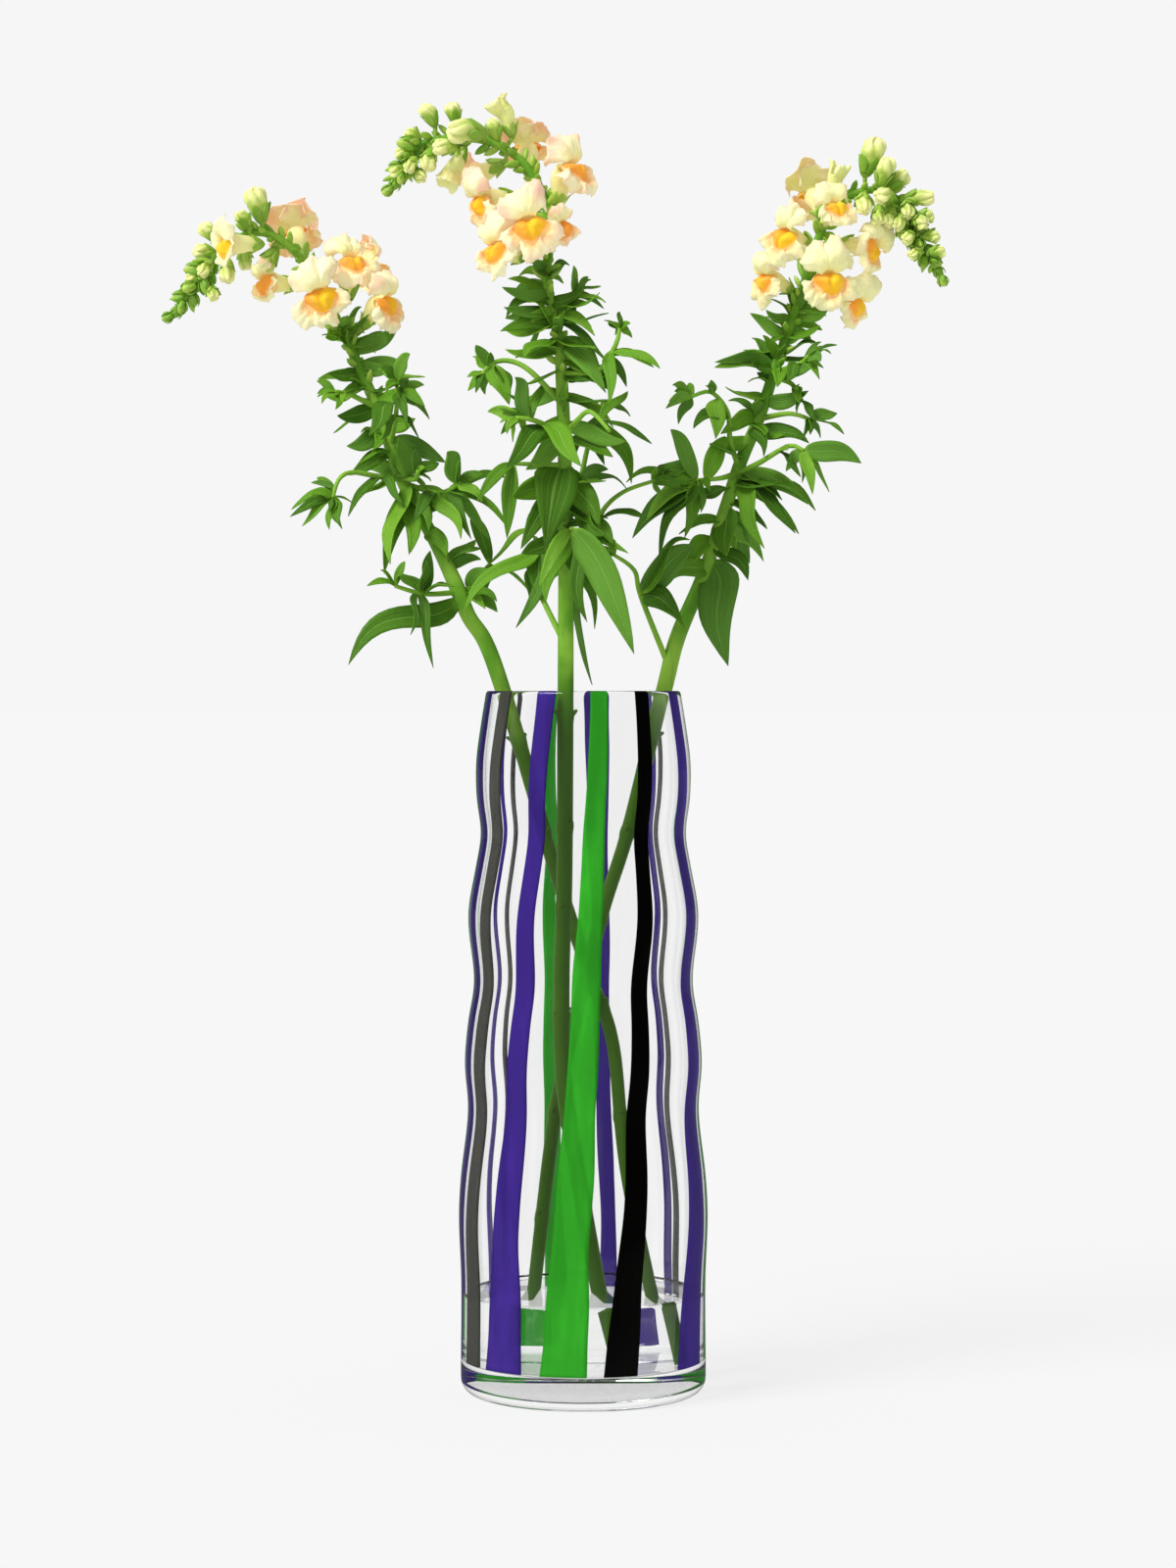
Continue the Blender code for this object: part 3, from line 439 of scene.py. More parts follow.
# Coloured stripes in the wall: colour, turn from the front at the rim, the waist and the foot in
# degrees, width at the same three heights in millimetres
stripes = {
    "colours": {
        "violet": ((0.056, 0.026, 0.262), 0.45),
        "green": ((0.040, 0.40, 0.025), 0.45),
        "black": ((0.0008, 0.0006, 0.0005), 0.02),
        "smoke": ((0.075, 0.075, 0.066), 0.45),
    },
    "list": [
        ("smoke", -53, -61.3, -65, 8.3, 9.4, 15),
        ("violet", -22, -33.1, -41.3, 10.2, 10.8, 23),
        ("green", 9.1, 0.5, -9.8, 9.0, 14.7, 23.4),
        ("black", 36.5, 29.7, 18, 7.5, 9.7, 18),
        ("violet", 67.4, 70.5, 60.5, 10, 13, 22),
        ("green", 97, 93, 86, 5, 7, 10),
        ("smoke", 126, 128, 121, 2.4, 2.6, 5),
        ("violet", 133, 134, 128.5, 3.2, 3.6, 6),
        ("violet", 171.8, 170, 166, 15, 9, 10),
        ("green", 200, 198, 193, 6, 8, 13),
        ("smoke", 225, 227, 222, 2.4, 2.2, 5),
        ("violet", 236, 238, 234, 2.2, 2.2, 5),
        ("green", 271, 268, 262, 5, 6, 9),
        ("violet", 283, 281, 275, 3, 3.5, 6),
    ],
    "top": 359.2,
    "bottom": 18,
    "skin": 0.45,       # clear glass left outside and inside the colour
    "narrower": 0.92,   # the inner face beside the outer one
    "rows": 172,
    "columns": 8,
    "wander": 0.8,      # degrees that an edge strays
    "swell": 0.10,
}


def stripeMaterial(colour):
    tint, clear = stripes["colours"][colour]
    material, tree, shader = newMaterial(colour + " glass", {
        "Roughness": 0.15, "IOR": 1.0, "Transmission Weight": clear})
    paler = tuple(min(1, part * 1.5) for part in tint)
    cloud = speckle(tree, 60, 3, 0.6, (1, 1, 0.18))
    feed(shader.inputs["Base Color"], mixed(ease(cloud, 0.45, 0.8), tint, paler))
    return material


def threeWay(share, rimValue, waistValue, footValue):
    # a smooth run through the values at the rim, the waist and the foot
    return (rimValue * 2 * (share - 0.5) * (share - 1) - waistValue * 4 * share * (share - 1)
            + footValue * 2 * share * (share - 0.5))


def makeStripes():
    rng = random.Random(12)
    shapes = {}
    sides = [2 * k / stripes["columns"] - 1 for k in range(stripes["columns"] + 1)]
    for colour, *plan in stripes["list"]:
        wobble = rng.uniform(0, 10)
        rows = []
        for i in range(stripes["rows"] + 1):
            share = i / stripes["rows"]
            height = stripes["top"] + (stripes["bottom"] - stripes["top"]) * share
            middle = threeWay(share, *plan[:3]) - 90
            middle += stripes["wander"] * noise.noise(Vector((wobble, height * 0.02, 0)))
            wide = threeWay(share, *plan[3:])
            wide *= 1 + stripes["swell"] * noise.noise(Vector((wobble, height * 0.03, 5)))
            out = evenRadius(height) - stripes["skin"]
            thin = innerRadius(height) + stripes["skin"]
            half = degrees(wide / 2 / out)
            ring = [(out, middle + half * s) for s in sides]
            ring += [(thin, middle - half * stripes["narrower"] * s) for s in sides]
            rows.append([(onTurn(radius, radians(turn), height), share, 0.0, 0.5, 0.0)
                         for radius, turn in ring])
        caps = []
        for ring in (rows[0], rows[-1]):
            centre = sum((entry[0] for entry in ring), Vector()) / len(ring)
            caps.append([(centre, 0.0, 0.0, 0.5, 0.0)] * len(ring))
        addGrid(shapes.setdefault(colour, newShape()), [caps[0], *rows, caps[1]], closed=True)
    for colour, shape in shapes.items():
        finishPiece(colour + "Stripes", shape, [stripeMaterial(colour)], [])


water = {
    "level": 51,
    "meniscus": 1.6,        # how high and how far in the water creeps up the glass
    "into": 0.15,           # how far it reaches into the glass, so no air shows between
    "ior": 1.333,
    "tint": (0.995, 1.0, 0.996),
    "lampTint": (0.995, 0.998, 0.995),
    "uneven": (40, 2, 0.5),
    "unevenDepth": (0.03, 0.0006),
}


def makeWater():
    level, into, creep = water["level"], water["into"], water["meniscus"]
    profile = [(level, 0.0), (level, 30.0)]
    for away in steps(6.0, -0.5, -0.75):
        height = level + creep * exp(-away / creep)
        profile.append((height, innerRadius(height) + into - away))
    for height in steps(level - 1.0, vase["wallFrom"], -3.0):
        profile.append((height, innerRadius(height) + into))
    profile += reversed(hollowCurve(into))
    profile += [(vase["floor"] - into, radius) for radius in (vase["floorRings"][0], 0)]
    finishPiece("waterBody", turnedShape(profile), [clearMaterial("water", water)], ["water"])


# main stems from the cut end to the tip: across, up, depth, radius
stemAxes = {
    "left": [
        (41, 24, -13, 3.5), (22.5, 112, -8, 3.5), (15, 180, -4, 3.5), (2.5, 217, -1, 3.5),
        (-14, 267, 0, 3.6), (-25, 307, -1, 3.8), (-41.2, 361, -3, 4.2), (-50, 385, -2, 4.2),
        (-58.5, 398, -1, 4.1), (-65, 414, 1, 4.2), (-76, 437, 4, 3.6), (-92, 467, 8, 3.6),
        (-105.5, 505, 13, 3.1), (-124.5, 547, 18, 2.5), (-132.5, 562, 19, 2.4), (-143, 579, 17, 2.3),
        (-154, 590, 14, 2.2), (-166.5, 594, 10, 2.0), (-177.5, 590, 6, 1.8), (-186.5, 581, 3, 1.6),
        (-202.5, 561, 0, 1.3), (-210, 551, 0, 0.9),
    ],
    "centre": [
        (13.5, 24, 6, 4.3), (-2.5, 112, -5, 4.3), (-10, 162, -11, 4.3), (-11, 212, -18, 4.3),
        (-9.5, 267, -26, 4.2), (-9, 361, -40.3, 4.2), (-9, 432, -49, 3.9), (-9.5, 479, -54, 3.6),
        (-11, 519, -56, 3.2), (-12.5, 539, -57, 2.9), (-18.5, 570, -57, 2.5), (-17.5, 587, -55, 2.4),
        (-19, 607, -53, 2.3), (-25, 622, -50, 2.2), (-34.5, 633, -48, 2.1), (-47.5, 640, -47, 2.0),
        (-62.5, 642, -46, 1.8), (-77.5, 641, -46, 1.6), (-87.5, 635, -46, 1.4), (-98, 616, -46, 0.9),
    ],
    "right": [
        (-28.5, 26, 16, 3.7), (-17.5, 122, 13, 3.7), (-11, 162, 12.5, 3.7), (8.5, 242, 12, 3.7),
        (22.5, 287, 10, 3.8), (41.1, 360, 6, 4.3), (48, 387, 9, 4.3), (60.5, 417, 13, 3.8),
        (72.5, 453, 17, 3.5), (80, 476, 20, 3.5), (90, 500, 23, 3.3), (97.5, 523, 25, 3.0),
        (110.5, 560, 26, 2.5), (118.5, 587, 24, 2.3), (125, 601, 22, 2.2), (132.5, 610, 20, 2.1),
        (142.5, 615, 18, 2.0), (152.5, 615, 16, 1.9), (160, 611, 14, 1.7), (165, 600, 12, 1.5),
        (172.5, 586, 10, 1.3), (183.5, 571, 8, 0.9),
    ],
}
racemeStart = {"left": 13, "centre": 9, "right": 12}

# side shoots: across, up, depth; the first point moves onto the nearest stem or earlier shoot
shootPlan = {
    "left": [
        [(-105.5, 505, 13), (-118.5, 511, 8), (-127, 513, 4)],
        [(-98.5, 485, 10), (-95.5, 502, 2), (-95, 518, -2)],
        [(-93, 469, 8), (-86, 468, -4), (-84.5, 472, -10)],
        [(-93, 467, 8), (-105, 469.5, 4), (-118.5, 471.5, 0), (-125, 467.5, -2), (-128, 457.5, -3)],
        [(-91.5, 466, 8), (-73.5, 461, 0), (-62.5, 466.5, -6)],
        [(-65.5, 409.5, 1), (-81, 409.5, -6), (-96, 413.5, -10)],
        [(-64, 407.5, 1), (-47.5, 425, 8)],
    ],
    "centre": [
        [(-15.5, 557, -57), (-4, 562, -60)],
        [(-11, 522, -56), (7.5, 523.5, -62), (16.5, 536.5, -64), (18.5, 545, -64)],
        [(-11, 506, -55), (-27.5, 523.5, -52), (-38.5, 528.5, -50), (-47.5, 526.5, -50), (-52.5, 520, -50)],
        [(-10, 491, -55), (-25, 498, -62), (-34.5, 499.5, -64)],
        [(-10, 490, -55), (-3.5, 497.5, -64), (3.5, 502.5, -68), (13.5, 492.5, -72)],
        [(-9.5, 463, -53), (-2.5, 465, -46), (2.5, 485, -42), (10, 507.5, -40)],
        [(-11, 475, -54), (-36, 476, -60)],
        [(-9, 440, -50), (-6, 443, -62)],
        [(-11, 383, -43), (-23.5, 413, -36), (-25, 424, -34), (-22, 432, -34)],
        [(-9, 427, -49), (6, 438.5, -44), (10, 452, -42), (20.5, 461.5, -40), (35.5, 467, -40)],
    ],
    "right": [
        [(97.5, 523, 25), (110, 526.5, 14), (115, 531, 10)],
        [(97, 520, 25), (106.5, 516.5, 20), (111.5, 508, 16)],
        [(91, 498, 23), (105, 501.5, 18), (116, 498.5, 14)],
        [(79.5, 470, 20), (90, 476.5, 12), (105, 485, 6), (112.5, 482.5, 4)],
        [(79, 474, 20), (75, 487.5, 14), (73.5, 502.5, 12), (65, 512.5, 10), (55, 510, 8)],
        [(78.5, 471, 20), (70, 468.5, 12), (57.5, 467.5, 8)],
        [(42, 372, 7), (29.5, 408, 0), (26, 421.5, -4), (15.5, 429.5, -6)],
    ],
}

# leaves: across and up of the root, across and up of the tip, width, depth change from root to tip
leafPlan = {
    "left": [
        (-121.5, 536, -133.5, 541.5, 4, -8), (-117, 532, -102.5, 543.5, 4, 8),
        (-125, 513, -133.5, 506.5, 4, -4), (-122.5, 511.5, -126.5, 503.5, 4, -6),
        (-126.5, 514, -136, 518, 4, 3), (-114, 520, -135.5, 519, 5, 8),
        (-108.5, 515, -124.5, 510, 4, -10), (-105.5, 507.5, -113, 518.5, 4, 10),
        (-97, 506, -109.5, 490, 11, -14), (-105.5, 502.5, -127.5, 491.5, 6, 12),
        (-100, 492, -108, 482.5, 5, -12), (-95.5, 518.5, -105, 523.5, 5, 5),
        (-95, 518.5, -88.5, 532, 7, -8), (-95.5, 517.5, -100.5, 511.5, 4, -10),
        (-95, 517.5, -83.5, 509, 6, 8), (-95, 512.5, -90, 493.5, 6, -14),
        (-95, 510, -78.5, 498.5, 6, 12), (-96, 500, -83.5, 488, 5, -10),
        (-88.5, 469, -95, 489, 9, -10), (-84, 468.5, -85.5, 483.5, 6, -2),
        (-83, 468.5, -73.5, 476, 6, 2), (-94, 471, -117.5, 472.5, 7, 8),
        (-97.5, 481, -114, 476, 5, -10), (-126.5, 460, -149, 452.5, 5, 4),
        (-127.5, 459, -143.5, 444, 5, -3), (-127, 463, -142, 454.5, 4, 8),
        (-128, 458, -129.5, 442, 4, -4), (-128, 459, -123, 442.5, 4, 3),
        (-104, 469, -120, 449, 6, -12), (-94.5, 464, -98.5, 424.5, 10, -18),
        (-90, 460, -88, 430.5, 9, -14), (-87, 463.5, -79, 441, 6, -8),
        (-64.5, 466.5, -69.5, 482, 8, -4), (-63.5, 466.5, -51.5, 456, 6, -4),
        (-69.5, 462, -38, 442.5, 6, -6), (-75, 461, -62.5, 437.5, 7, -10),
        (-67.5, 463, -47.5, 436.5, 5, 8), (-63.5, 406.5, -120, 373, 12, -14),
        (-95, 413.5, -110.5, 413.5, 4, -2), (-96, 413.5, -91, 426, 4, -4),
        (-119, 541, -106, 547, 4, 9), (-122, 545, -113, 556, 3, 8),
        (-81, 409.5, -78, 431.5, 7, -6), (-83.5, 409.5, -76.5, 371.5, 5, -6),
        (-71.5, 421.5, -55, 437, 6, 10), (-47.5, 425, -24, 442, 8, 6),
        (-47.5, 426, -23.5, 405, 6, -8), (-61.5, 412.5, -44, 405.5, 6, -12),
    ],
    "centre": [
        (-17.5, 561, -35.5, 563.5, 5, 6), (-16.5, 556.5, -39.5, 550, 6, -8),
        (-19, 568, -33, 571.5, 5, 5), (-16, 566, -7, 577, 4, 8), (-15, 552, -30, 541, 5, -6),
        (-14, 550, 4, 546, 5, 8), (-13.5, 547, 6, 541, 6, -8),
        (-4, 562, 9, 566.5, 4, 2), (-4, 562, 11.5, 558, 4, -4),
        (-5, 561.5, 10.5, 555, 4, 5), (-4, 562, -5, 577, 4, -2),
        (-14, 543.5, -40, 550, 6, 8), (-14, 541, -42.5, 543.5, 7, -10),
        (-14, 535, -12.5, 550, 5, -12), (-11, 530.5, -30, 530, 10, -16),
        (-11, 533.5, 11.5, 512, 11, -8), (10, 526.5, 36, 525, 5, 6),
        (12, 529, 13, 505, 6, -10), (18.5, 545, 12.5, 547.5, 3, 2),
        (18.5, 545, 24, 547.5, 3, -3), (18.5, 545, 18.5, 553.5, 3, 3),
        (18.5, 543, 25, 540, 3, 4), (-50, 523.5, -55, 536.5, 5, -3),
        (-51, 522.5, -56.5, 530.5, 4, 4), (-52.5, 520, -55, 512, 4, -3),
        (-52.5, 520, -50, 511, 4, 3), (-52.5, 520, -59, 513, 4, 3),
        (-30, 498.5, -49, 502.5, 6, 4), (-26, 497.5, -35, 520, 7, -6),
        (-25, 497.5, -21.5, 516, 5, 6), (-34.5, 499.5, -39, 491, 4, -3),
        (-34.5, 499, -36, 487, 4, 4), (-17, 490, -39.5, 473.5, 10, -14),
        (-20, 491, -1, 474.5, 10, -18), (-10, 496, -7.5, 518.5, 6, -10),
        (10, 497, 24.5, 465.5, 8, -8), (12, 495, 35, 486, 5, 6),
        (10, 507, 24, 500, 6, 5), (3, 487, 11, 475, 5, -5),
        (0, 467, 22.5, 462.5, 6, 6), (-10.5, 472.5, -19.5, 432.5, 20, -16),
        (-36, 476, -39, 437.5, 8, -3), (-4, 440, 26, 378.5, 15, -8),
        (-6.5, 440, 2, 395, 8, -6), (-6, 443, -10, 450, 4, -4),
        (-6, 443, -1, 451, 4, -4), (-6, 443, 2.5, 443, 4, -6),
        (-7, 423, 4.5, 363, 8, 14), (-22, 432, -17, 438, 3, -2),
        (-22, 432, -26, 439, 3, 2), (35.5, 467, 52.5, 472.5, 5, 2),
        (35.5, 467, 50, 463.5, 5, -4), (35.5, 467, 42.5, 475, 4, 3),
        (35.5, 467, 55, 467.5, 4, 5), (10, 445, 32.5, 448, 9, -6),
    ],
    "right": [
        (110, 556, 103, 568, 4, 6), (112, 556, 124, 551, 5, -4), (108, 552, 95, 560, 5, 4),
        (107, 548, 122, 544, 6, 6), (105, 545, 93, 551, 5, -6),
        (95, 522, 67, 525, 11, -10), (88, 522, 84, 517.5, 4, -6), (96, 527, 86, 540, 5, 8),
        (99, 530, 91.5, 541.5, 4, -8), (115, 531, 129.5, 536.5, 7, -4), (113, 529, 126.5, 532, 5, 8),
        (111, 527, 120.5, 519, 7, -8), (103, 525, 99, 515, 8, -14), (111.5, 508, 118.5, 497.5, 5, -5),
        (107, 516, 110.5, 506.5, 5, -8), (90, 500.5, 70, 491, 8, -12), (89, 503, 74, 508, 5, 6),
        (116, 498.5, 133, 491, 7, -5), (116, 498.5, 121, 489, 4, 3), (116, 498.5, 112, 488, 4, -4),
        (92, 496, 92, 479.5, 7, -14), (112.5, 483, 142, 476, 10, 3), (112.5, 482, 117, 460, 6, -4),
        (100, 482, 111, 469, 5, -6), (113, 482, 125.5, 461.5, 4, 4), (82, 466, 118.5, 452, 15, -12),
        (83, 464, 92.5, 432.5, 10, -16), (84, 463, 110, 440, 9, 8), (72, 452, 85, 425, 12, 10),
        (55, 510, 45.5, 516, 5, 3), (55, 510, 42, 504, 5, -3), (55, 510, 48.5, 496, 5, 4),
        (66, 512, 65, 518.5, 4, -3), (68, 509, 67.5, 488.5, 9, -6), (57.5, 467.5, 44.5, 493.5, 8, -4),
        (62, 468, 72.5, 490, 9, 5), (57.5, 467.5, 50, 462, 4, -3), (57.5, 467.5, 52, 473, 4, 4),
        (60, 468, 60, 451, 5, -5), (30, 410, 54.5, 437, 12, -6), (30, 409, 50, 396.5, 11, -8),
        (15.5, 429.5, 9, 434, 4, 2), (15.5, 429.5, 14, 438, 4, -3), (63, 428, 74, 372.5, 19, -12),
        (70, 447, 92, 426, 8, 10),
    ],
}

# short leaves close under the heads, laid out in the same way
topLeaves = {
    "left": [
        (-124, 547, -134, 541, 6, -6), (-122, 545, -112, 552, 6, -6), (-122, 548, -124, 560, 5, -8),
        (-118, 540, -102, 549, 6, 4), (-116, 536, -97, 541, 7, -8), (-127, 555, -140, 553, 5, 6),
        (-112, 523, -130, 530, 7, -8), (-109, 515, -92, 528, 6, -8), (-113, 528, -96, 530, 6, -10),
        (-110, 518, -128, 517, 7, -6), (-107, 508, -90, 514, 7, -8), (-106, 505, -124, 504, 7, -8),
        (-103, 496, -86, 498, 7, -8), (-102, 494, -120, 490, 7, -10), (-99, 484, -82, 480, 8, -8),
    ],
    "centre": [
        (-18, 566, -29, 577, 5, -4), (-18, 568, -20, 581, 5, -8), (-17, 566, -8, 576, 5, -6),
        (-17, 560, -35, 571, 5, 4), (-17, 558, -38, 562, 6, -10), (-16, 553, 4, 567, 6, -6),
        (-16, 550, 11, 558, 6, -10), (-16, 548, -37, 551, 6, -8), (-15, 544, 15, 549, 6, -6),
        (-15, 541, -40, 544, 7, -6), (-14, 536, -34, 532, 7, -10), (-14, 535, 10, 538, 7, -10),
        (-13, 528, -42, 530, 8, -8), (-13, 526, 18, 528, 7, -8), (-12, 519, -36, 515, 7, -10),
        (-12, 516, 22, 520, 8, -8), (-11, 508, -34, 510, 7, 8), (-11, 506, 16, 510, 7, -10),
        (-10, 496, -38, 492, 8, -8), (-10, 492, 20, 494, 8, -8), (-10, 470, -34, 462, 9, -10),
        (-9, 466, 14, 470, 8, -10), (-9, 455, 12, 446, 9, -10), (-9, 440, -28, 436, 9, -10),
    ],
    "right": [
        (107, 552, 97, 560, 5, -6), (108, 553, 121, 551, 6, -8), (104, 545, 88, 550, 6, -6),
        (104, 543, 122, 545, 7, -8), (102, 538, 84, 540, 7, 6), (110, 557, 113, 569, 4, -8),
        (98, 527, 82, 531, 7, -8), (98, 524, 116, 526, 7, -10), (94, 512, 76, 514, 7, -8),
        (93, 510, 112, 508, 7, -8), (88, 494, 106, 490, 8, -8), (86, 490, 68, 494, 8, -8),
        (76, 464, 58, 458, 8, -8), (78, 468, 98, 470, 8, -10), (82, 480, 64, 482, 8, -10),
    ],
}

# further leaves lower down, laid out in the same way
lowLeaves = {
    "left": [
        (-95, 460, -98, 425, 8, -10), (-91, 452, -87, 429, 8, -8), (-82, 410, -77, 432, 7, -6),
        (-80, 409, -66, 416, 9, -8), (-60, 413, -44, 405, 8, -8), (-61, 414, -46, 429, 7, -8),
        (-71, 424, -54, 437, 7, -10), (-86, 440, -70, 426, 8, -10), (-88, 448, -72, 452, 7, -8),
        (-98, 466, -116, 452, 8, -8), (-96, 470, -78, 462, 8, -8), (-101, 480, -119, 470, 8, -6),
        (-98, 488, -72, 474, 9, -6), (-112, 529, -88, 532, 7, -6), (-132, 456, -148, 444, 5, -4),
        (-130, 456, -126, 440, 5, -4),
    ],
    "centre": [
        (-8, 437, 2, 394, 6, -14), (-8, 438, 20, 439, 6, -10), (-8, 440, 16, 450, 6, -8),
        (-8, 438, -19, 412, 7, -12), (-24, 442, -63, 402, 9, -10), (-30, 434, -24, 405, 13, -6),
        (-8, 436, 12, 420, 7, -12), (-9, 446, -14, 458, 6, -8), (-9, 452, -30, 448, 9, -8),
        (-9, 462, -28, 440, 10, -10), (-9, 470, 12, 452, 10, -8), (-9, 452, 14, 436, 9, -10),
        (-10, 482, -32, 474, 9, -8), (-10, 484, 16, 476, 9, -8),
        (-50, 525, -34, 512, 9, -4), (-46, 527, -41, 508, 8, -4), (-10, 517, 13, 511, 8, -6),
        (-10, 507, 14, 502, 8, -6), (-50, 421, -26, 407, 7, -4), (-12, 545, 14, 536, 7, -6),
    ],
    "right": [
        (30, 409, 56, 437, 12, -6), (30, 409, 49, 397, 11, -6), (62, 440, 47, 424, 10, -8),
        (76, 452, 76, 423, 12, -8), (70, 448, 52, 440, 9, -8), (66, 436, 84, 424, 9, -8),
        (74, 458, 92, 448, 9, -8), (80, 470, 100, 460, 9, -8), (60, 426, 46, 412, 8, -10),
        (58, 464, 38, 474, 10, -4), (56, 462, 33, 455, 11, -6), (56, 460, 28, 435, 11, -6),
        (58, 458, 41, 430, 11, -8), (52, 464, 23, 471, 8, -4), (60, 458, 49, 441, 10, -8),
        (92, 530, 66, 526, 7, -6), (100, 533, 121, 542, 7, -6), (102, 531, 122, 527, 8, -6),
        (88, 494, 116, 493, 8, -6), (84, 470, 118, 456, 9, -6), (84, 466, 110, 444, 9, -8),
        (73, 502, 60, 490, 8, -6),
    ],
}

foliage = {
    "rows": 14,
    "columns": 6,
    "thickness": 0.45,
    "fold": 0.3,
    "edgeWave": 0.085,
    "fullWidth": 0.3630,    # what the blade's outline comes to at its widest
    "leafDark": (0.050, 0.150, 0.008),
    "leafMid": (0.122, 0.310, 0.014),
    "leafPale": (0.220, 0.440, 0.034),
    "midrib": (0.230, 0.440, 0.075),
    "underside": (0.120, 0.280, 0.040),
    "stemDark": (0.045, 0.170, 0.008),
    "stemMid": (0.110, 0.310, 0.015),
    "stemPale": (0.250, 0.480, 0.045),
    # painted shade: the colour the stem is darkened to inside the vase
    "stemShadeInVase": (0.040, 0.110, 0.004),
    "shadeHeights": (0.410, 0.35, 0.0, 0.94),     # in metres, and how much painted shade darkens the stem there
    "upperRough": (0.44, 0.58),
    "underRough": (0.6, 0.75),
    "leafSockets": {
        "Specular IOR Level": 0.14, "Subsurface Weight": 0.18, "Subsurface Radius": (0.6, 1.0, 0.2),
        "Subsurface Scale": 0.0012,
    },
    "stemSockets": {
        "Specular IOR Level": 0.18, "Subsurface Weight": 0.15, "Subsurface Radius": (0.7, 1.0, 0.25),
        "Subsurface Scale": 0.002,
    },
    "scars": {"count": 6, "first": 0.075, "apart": 0.052, "swell": 0.55, "length": 0.0022},
    "snag": [1.5, 1.2, 0.7],    # radii of what is left of a leaf stalk
}


def stemAxis(side):
    points = [seen(across, high, depth) for across, high, depth, _ in stemAxes[side]]
    radii = [radius * mm for *_, radius in stemAxes[side]]
    # the cut end stands on the vase's floor
    slope = (points[1] - points[0]).normalized()
    floor = (vase["floor"] + 0.3) * mm + radii[0] * (1 - slope.z ** 2) ** 0.5
    points[0] = points[0] + slope * ((floor - points[0].z) / slope.z)
    return points, radii


def shootLines(side, trunk):
    lines = []
    for table in shootPlan[side]:
        root = nearest(seen(*table[0]), [trunk] + lines)
        points = [root]
        for across, high, depth in table[1:]:
            points.append(seen(across, high, root.y / mm + (depth - table[0][2]) * layout["depthSpread"]))
        lines.append(points)
    return lines


def addLeaf(shape, root, tip, width, rng, looks, droop=1.0):
    length = (tip - root).length
    middle = (root + tip) / 2 + up * length * rng.uniform(0.08, 0.2) * droop
    facing = Vector((rng.uniform(-0.35, 0.35), -0.8, 0.6))
    wide = max(width * 1.15, 2.4) * mm
    stalk = min(0.28 * wide, 1.2 * mm)
    tone = looks.uniform(0, 1) * (0.5 if width > 11 else 1)
    roll = looks.uniform(-0.8, 0.8)
    twist = looks.uniform(-0.9, 0.9)
    wave = looks.uniform(0, 6)
    curl = looks.uniform(0.2, 0.9)
    arch = looks.uniform(0.0, 0.16) * droop
    sway = looks.uniform(-0.07, 0.07)
    rows = []
    for r in range(foliage["rows"] + 1):
        along = r / foliage["rows"]
        centre = root * (1 - along) ** 2 + middle * 2 * along * (1 - along) + tip * along ** 2
        ahead = ((middle - root) * (1 - along) + (tip - middle) * along).normalized()
        across = ahead.cross(facing).normalized()
        normal = across.cross(ahead).normalized()
        centre += (up * arch * sin(pi * along) * along + across * sway * sin(2 * pi * along)) * length
        angle = roll + twist * (along - 0.4)
        across = across * cos(angle) + normal * sin(angle)
        normal = across.cross(ahead).normalized()
        share = along ** 0.6 * (1 - along) ** 0.92 / foliage["fullWidth"]
        half = wide * max(share, stalk / wide * (1 - along) ** 0.5) / 2
        row = []
        for c in range(foliage["columns"] + 1):
            s = c / foliage["columns"] * 2 - 1
            lift = foliage["fold"] * abs(s) ** 1.4 * (1 - 0.45 * curl * abs(s) ** 2)
            lift += foliage["edgeWave"] * abs(s) ** 3 * sin(along * 11 + wave + (1.5 if s > 0 else 0))
            row.append((centre + across * (s * half) + normal * (lift * half), along, s, tone, 0.0))
        rows.append(row)
    addGrid(shape, rows)


def leafMaterial(name, under):
    material, tree, shader = newMaterial(name, foliage["leafSockets"])
    along, across, tone = numbersOf(tree, "along", "across", "tone")
    patch = speckle(tree, 55, 3, 0.55)
    away = abs(across)
    # a few veins run lengthwise beside the midrib, with fine fibres between them
    rib = ease(away, 0.11, 0.02)
    vein = abs((away * 9.4 + patch * 0.9).worked("COSINE")) ** 14.0 * ease(away, 1.0, 0.6)
    fibre = (across * 34.0 + patch * 9.0).worked("SINE") * 0.5 + 0.5
    base = mixed(ease(tone, 0.0, 0.75), foliage["leafDark"], foliage["leafMid"])
    base = mixed(ease(patch * 0.8 + tone, 1.0, 1.75), base, foliage["leafPale"])
    base = mixed(vein * 0.16, base, foliage["midrib"])
    base = mixed(fibre * 0.05, base, foliage["leafPale"])
    base = mixed(rib * 0.50, base, foliage["midrib"])
    base = mixed(ease(along, 0.12, 0.0), base, foliage["stemPale"])
    if under:
        base = mixed(0.5, base, foliage["underside"])
    feed(shader.inputs["Base Color"], base)
    rough = foliage["underRough" if under else "upperRough"]
    feed(shader.inputs["Roughness"], ease(patch, 0.3, 0.7, *rough))
    relief = rib * 0.9 + vein * 0.5 + speckle(tree, 420, 2, 0.5) * 0.35 + patch * 2.6 + fibre * 0.05
    bumpy(shader, relief, 0.55, 0.00045)
    return material


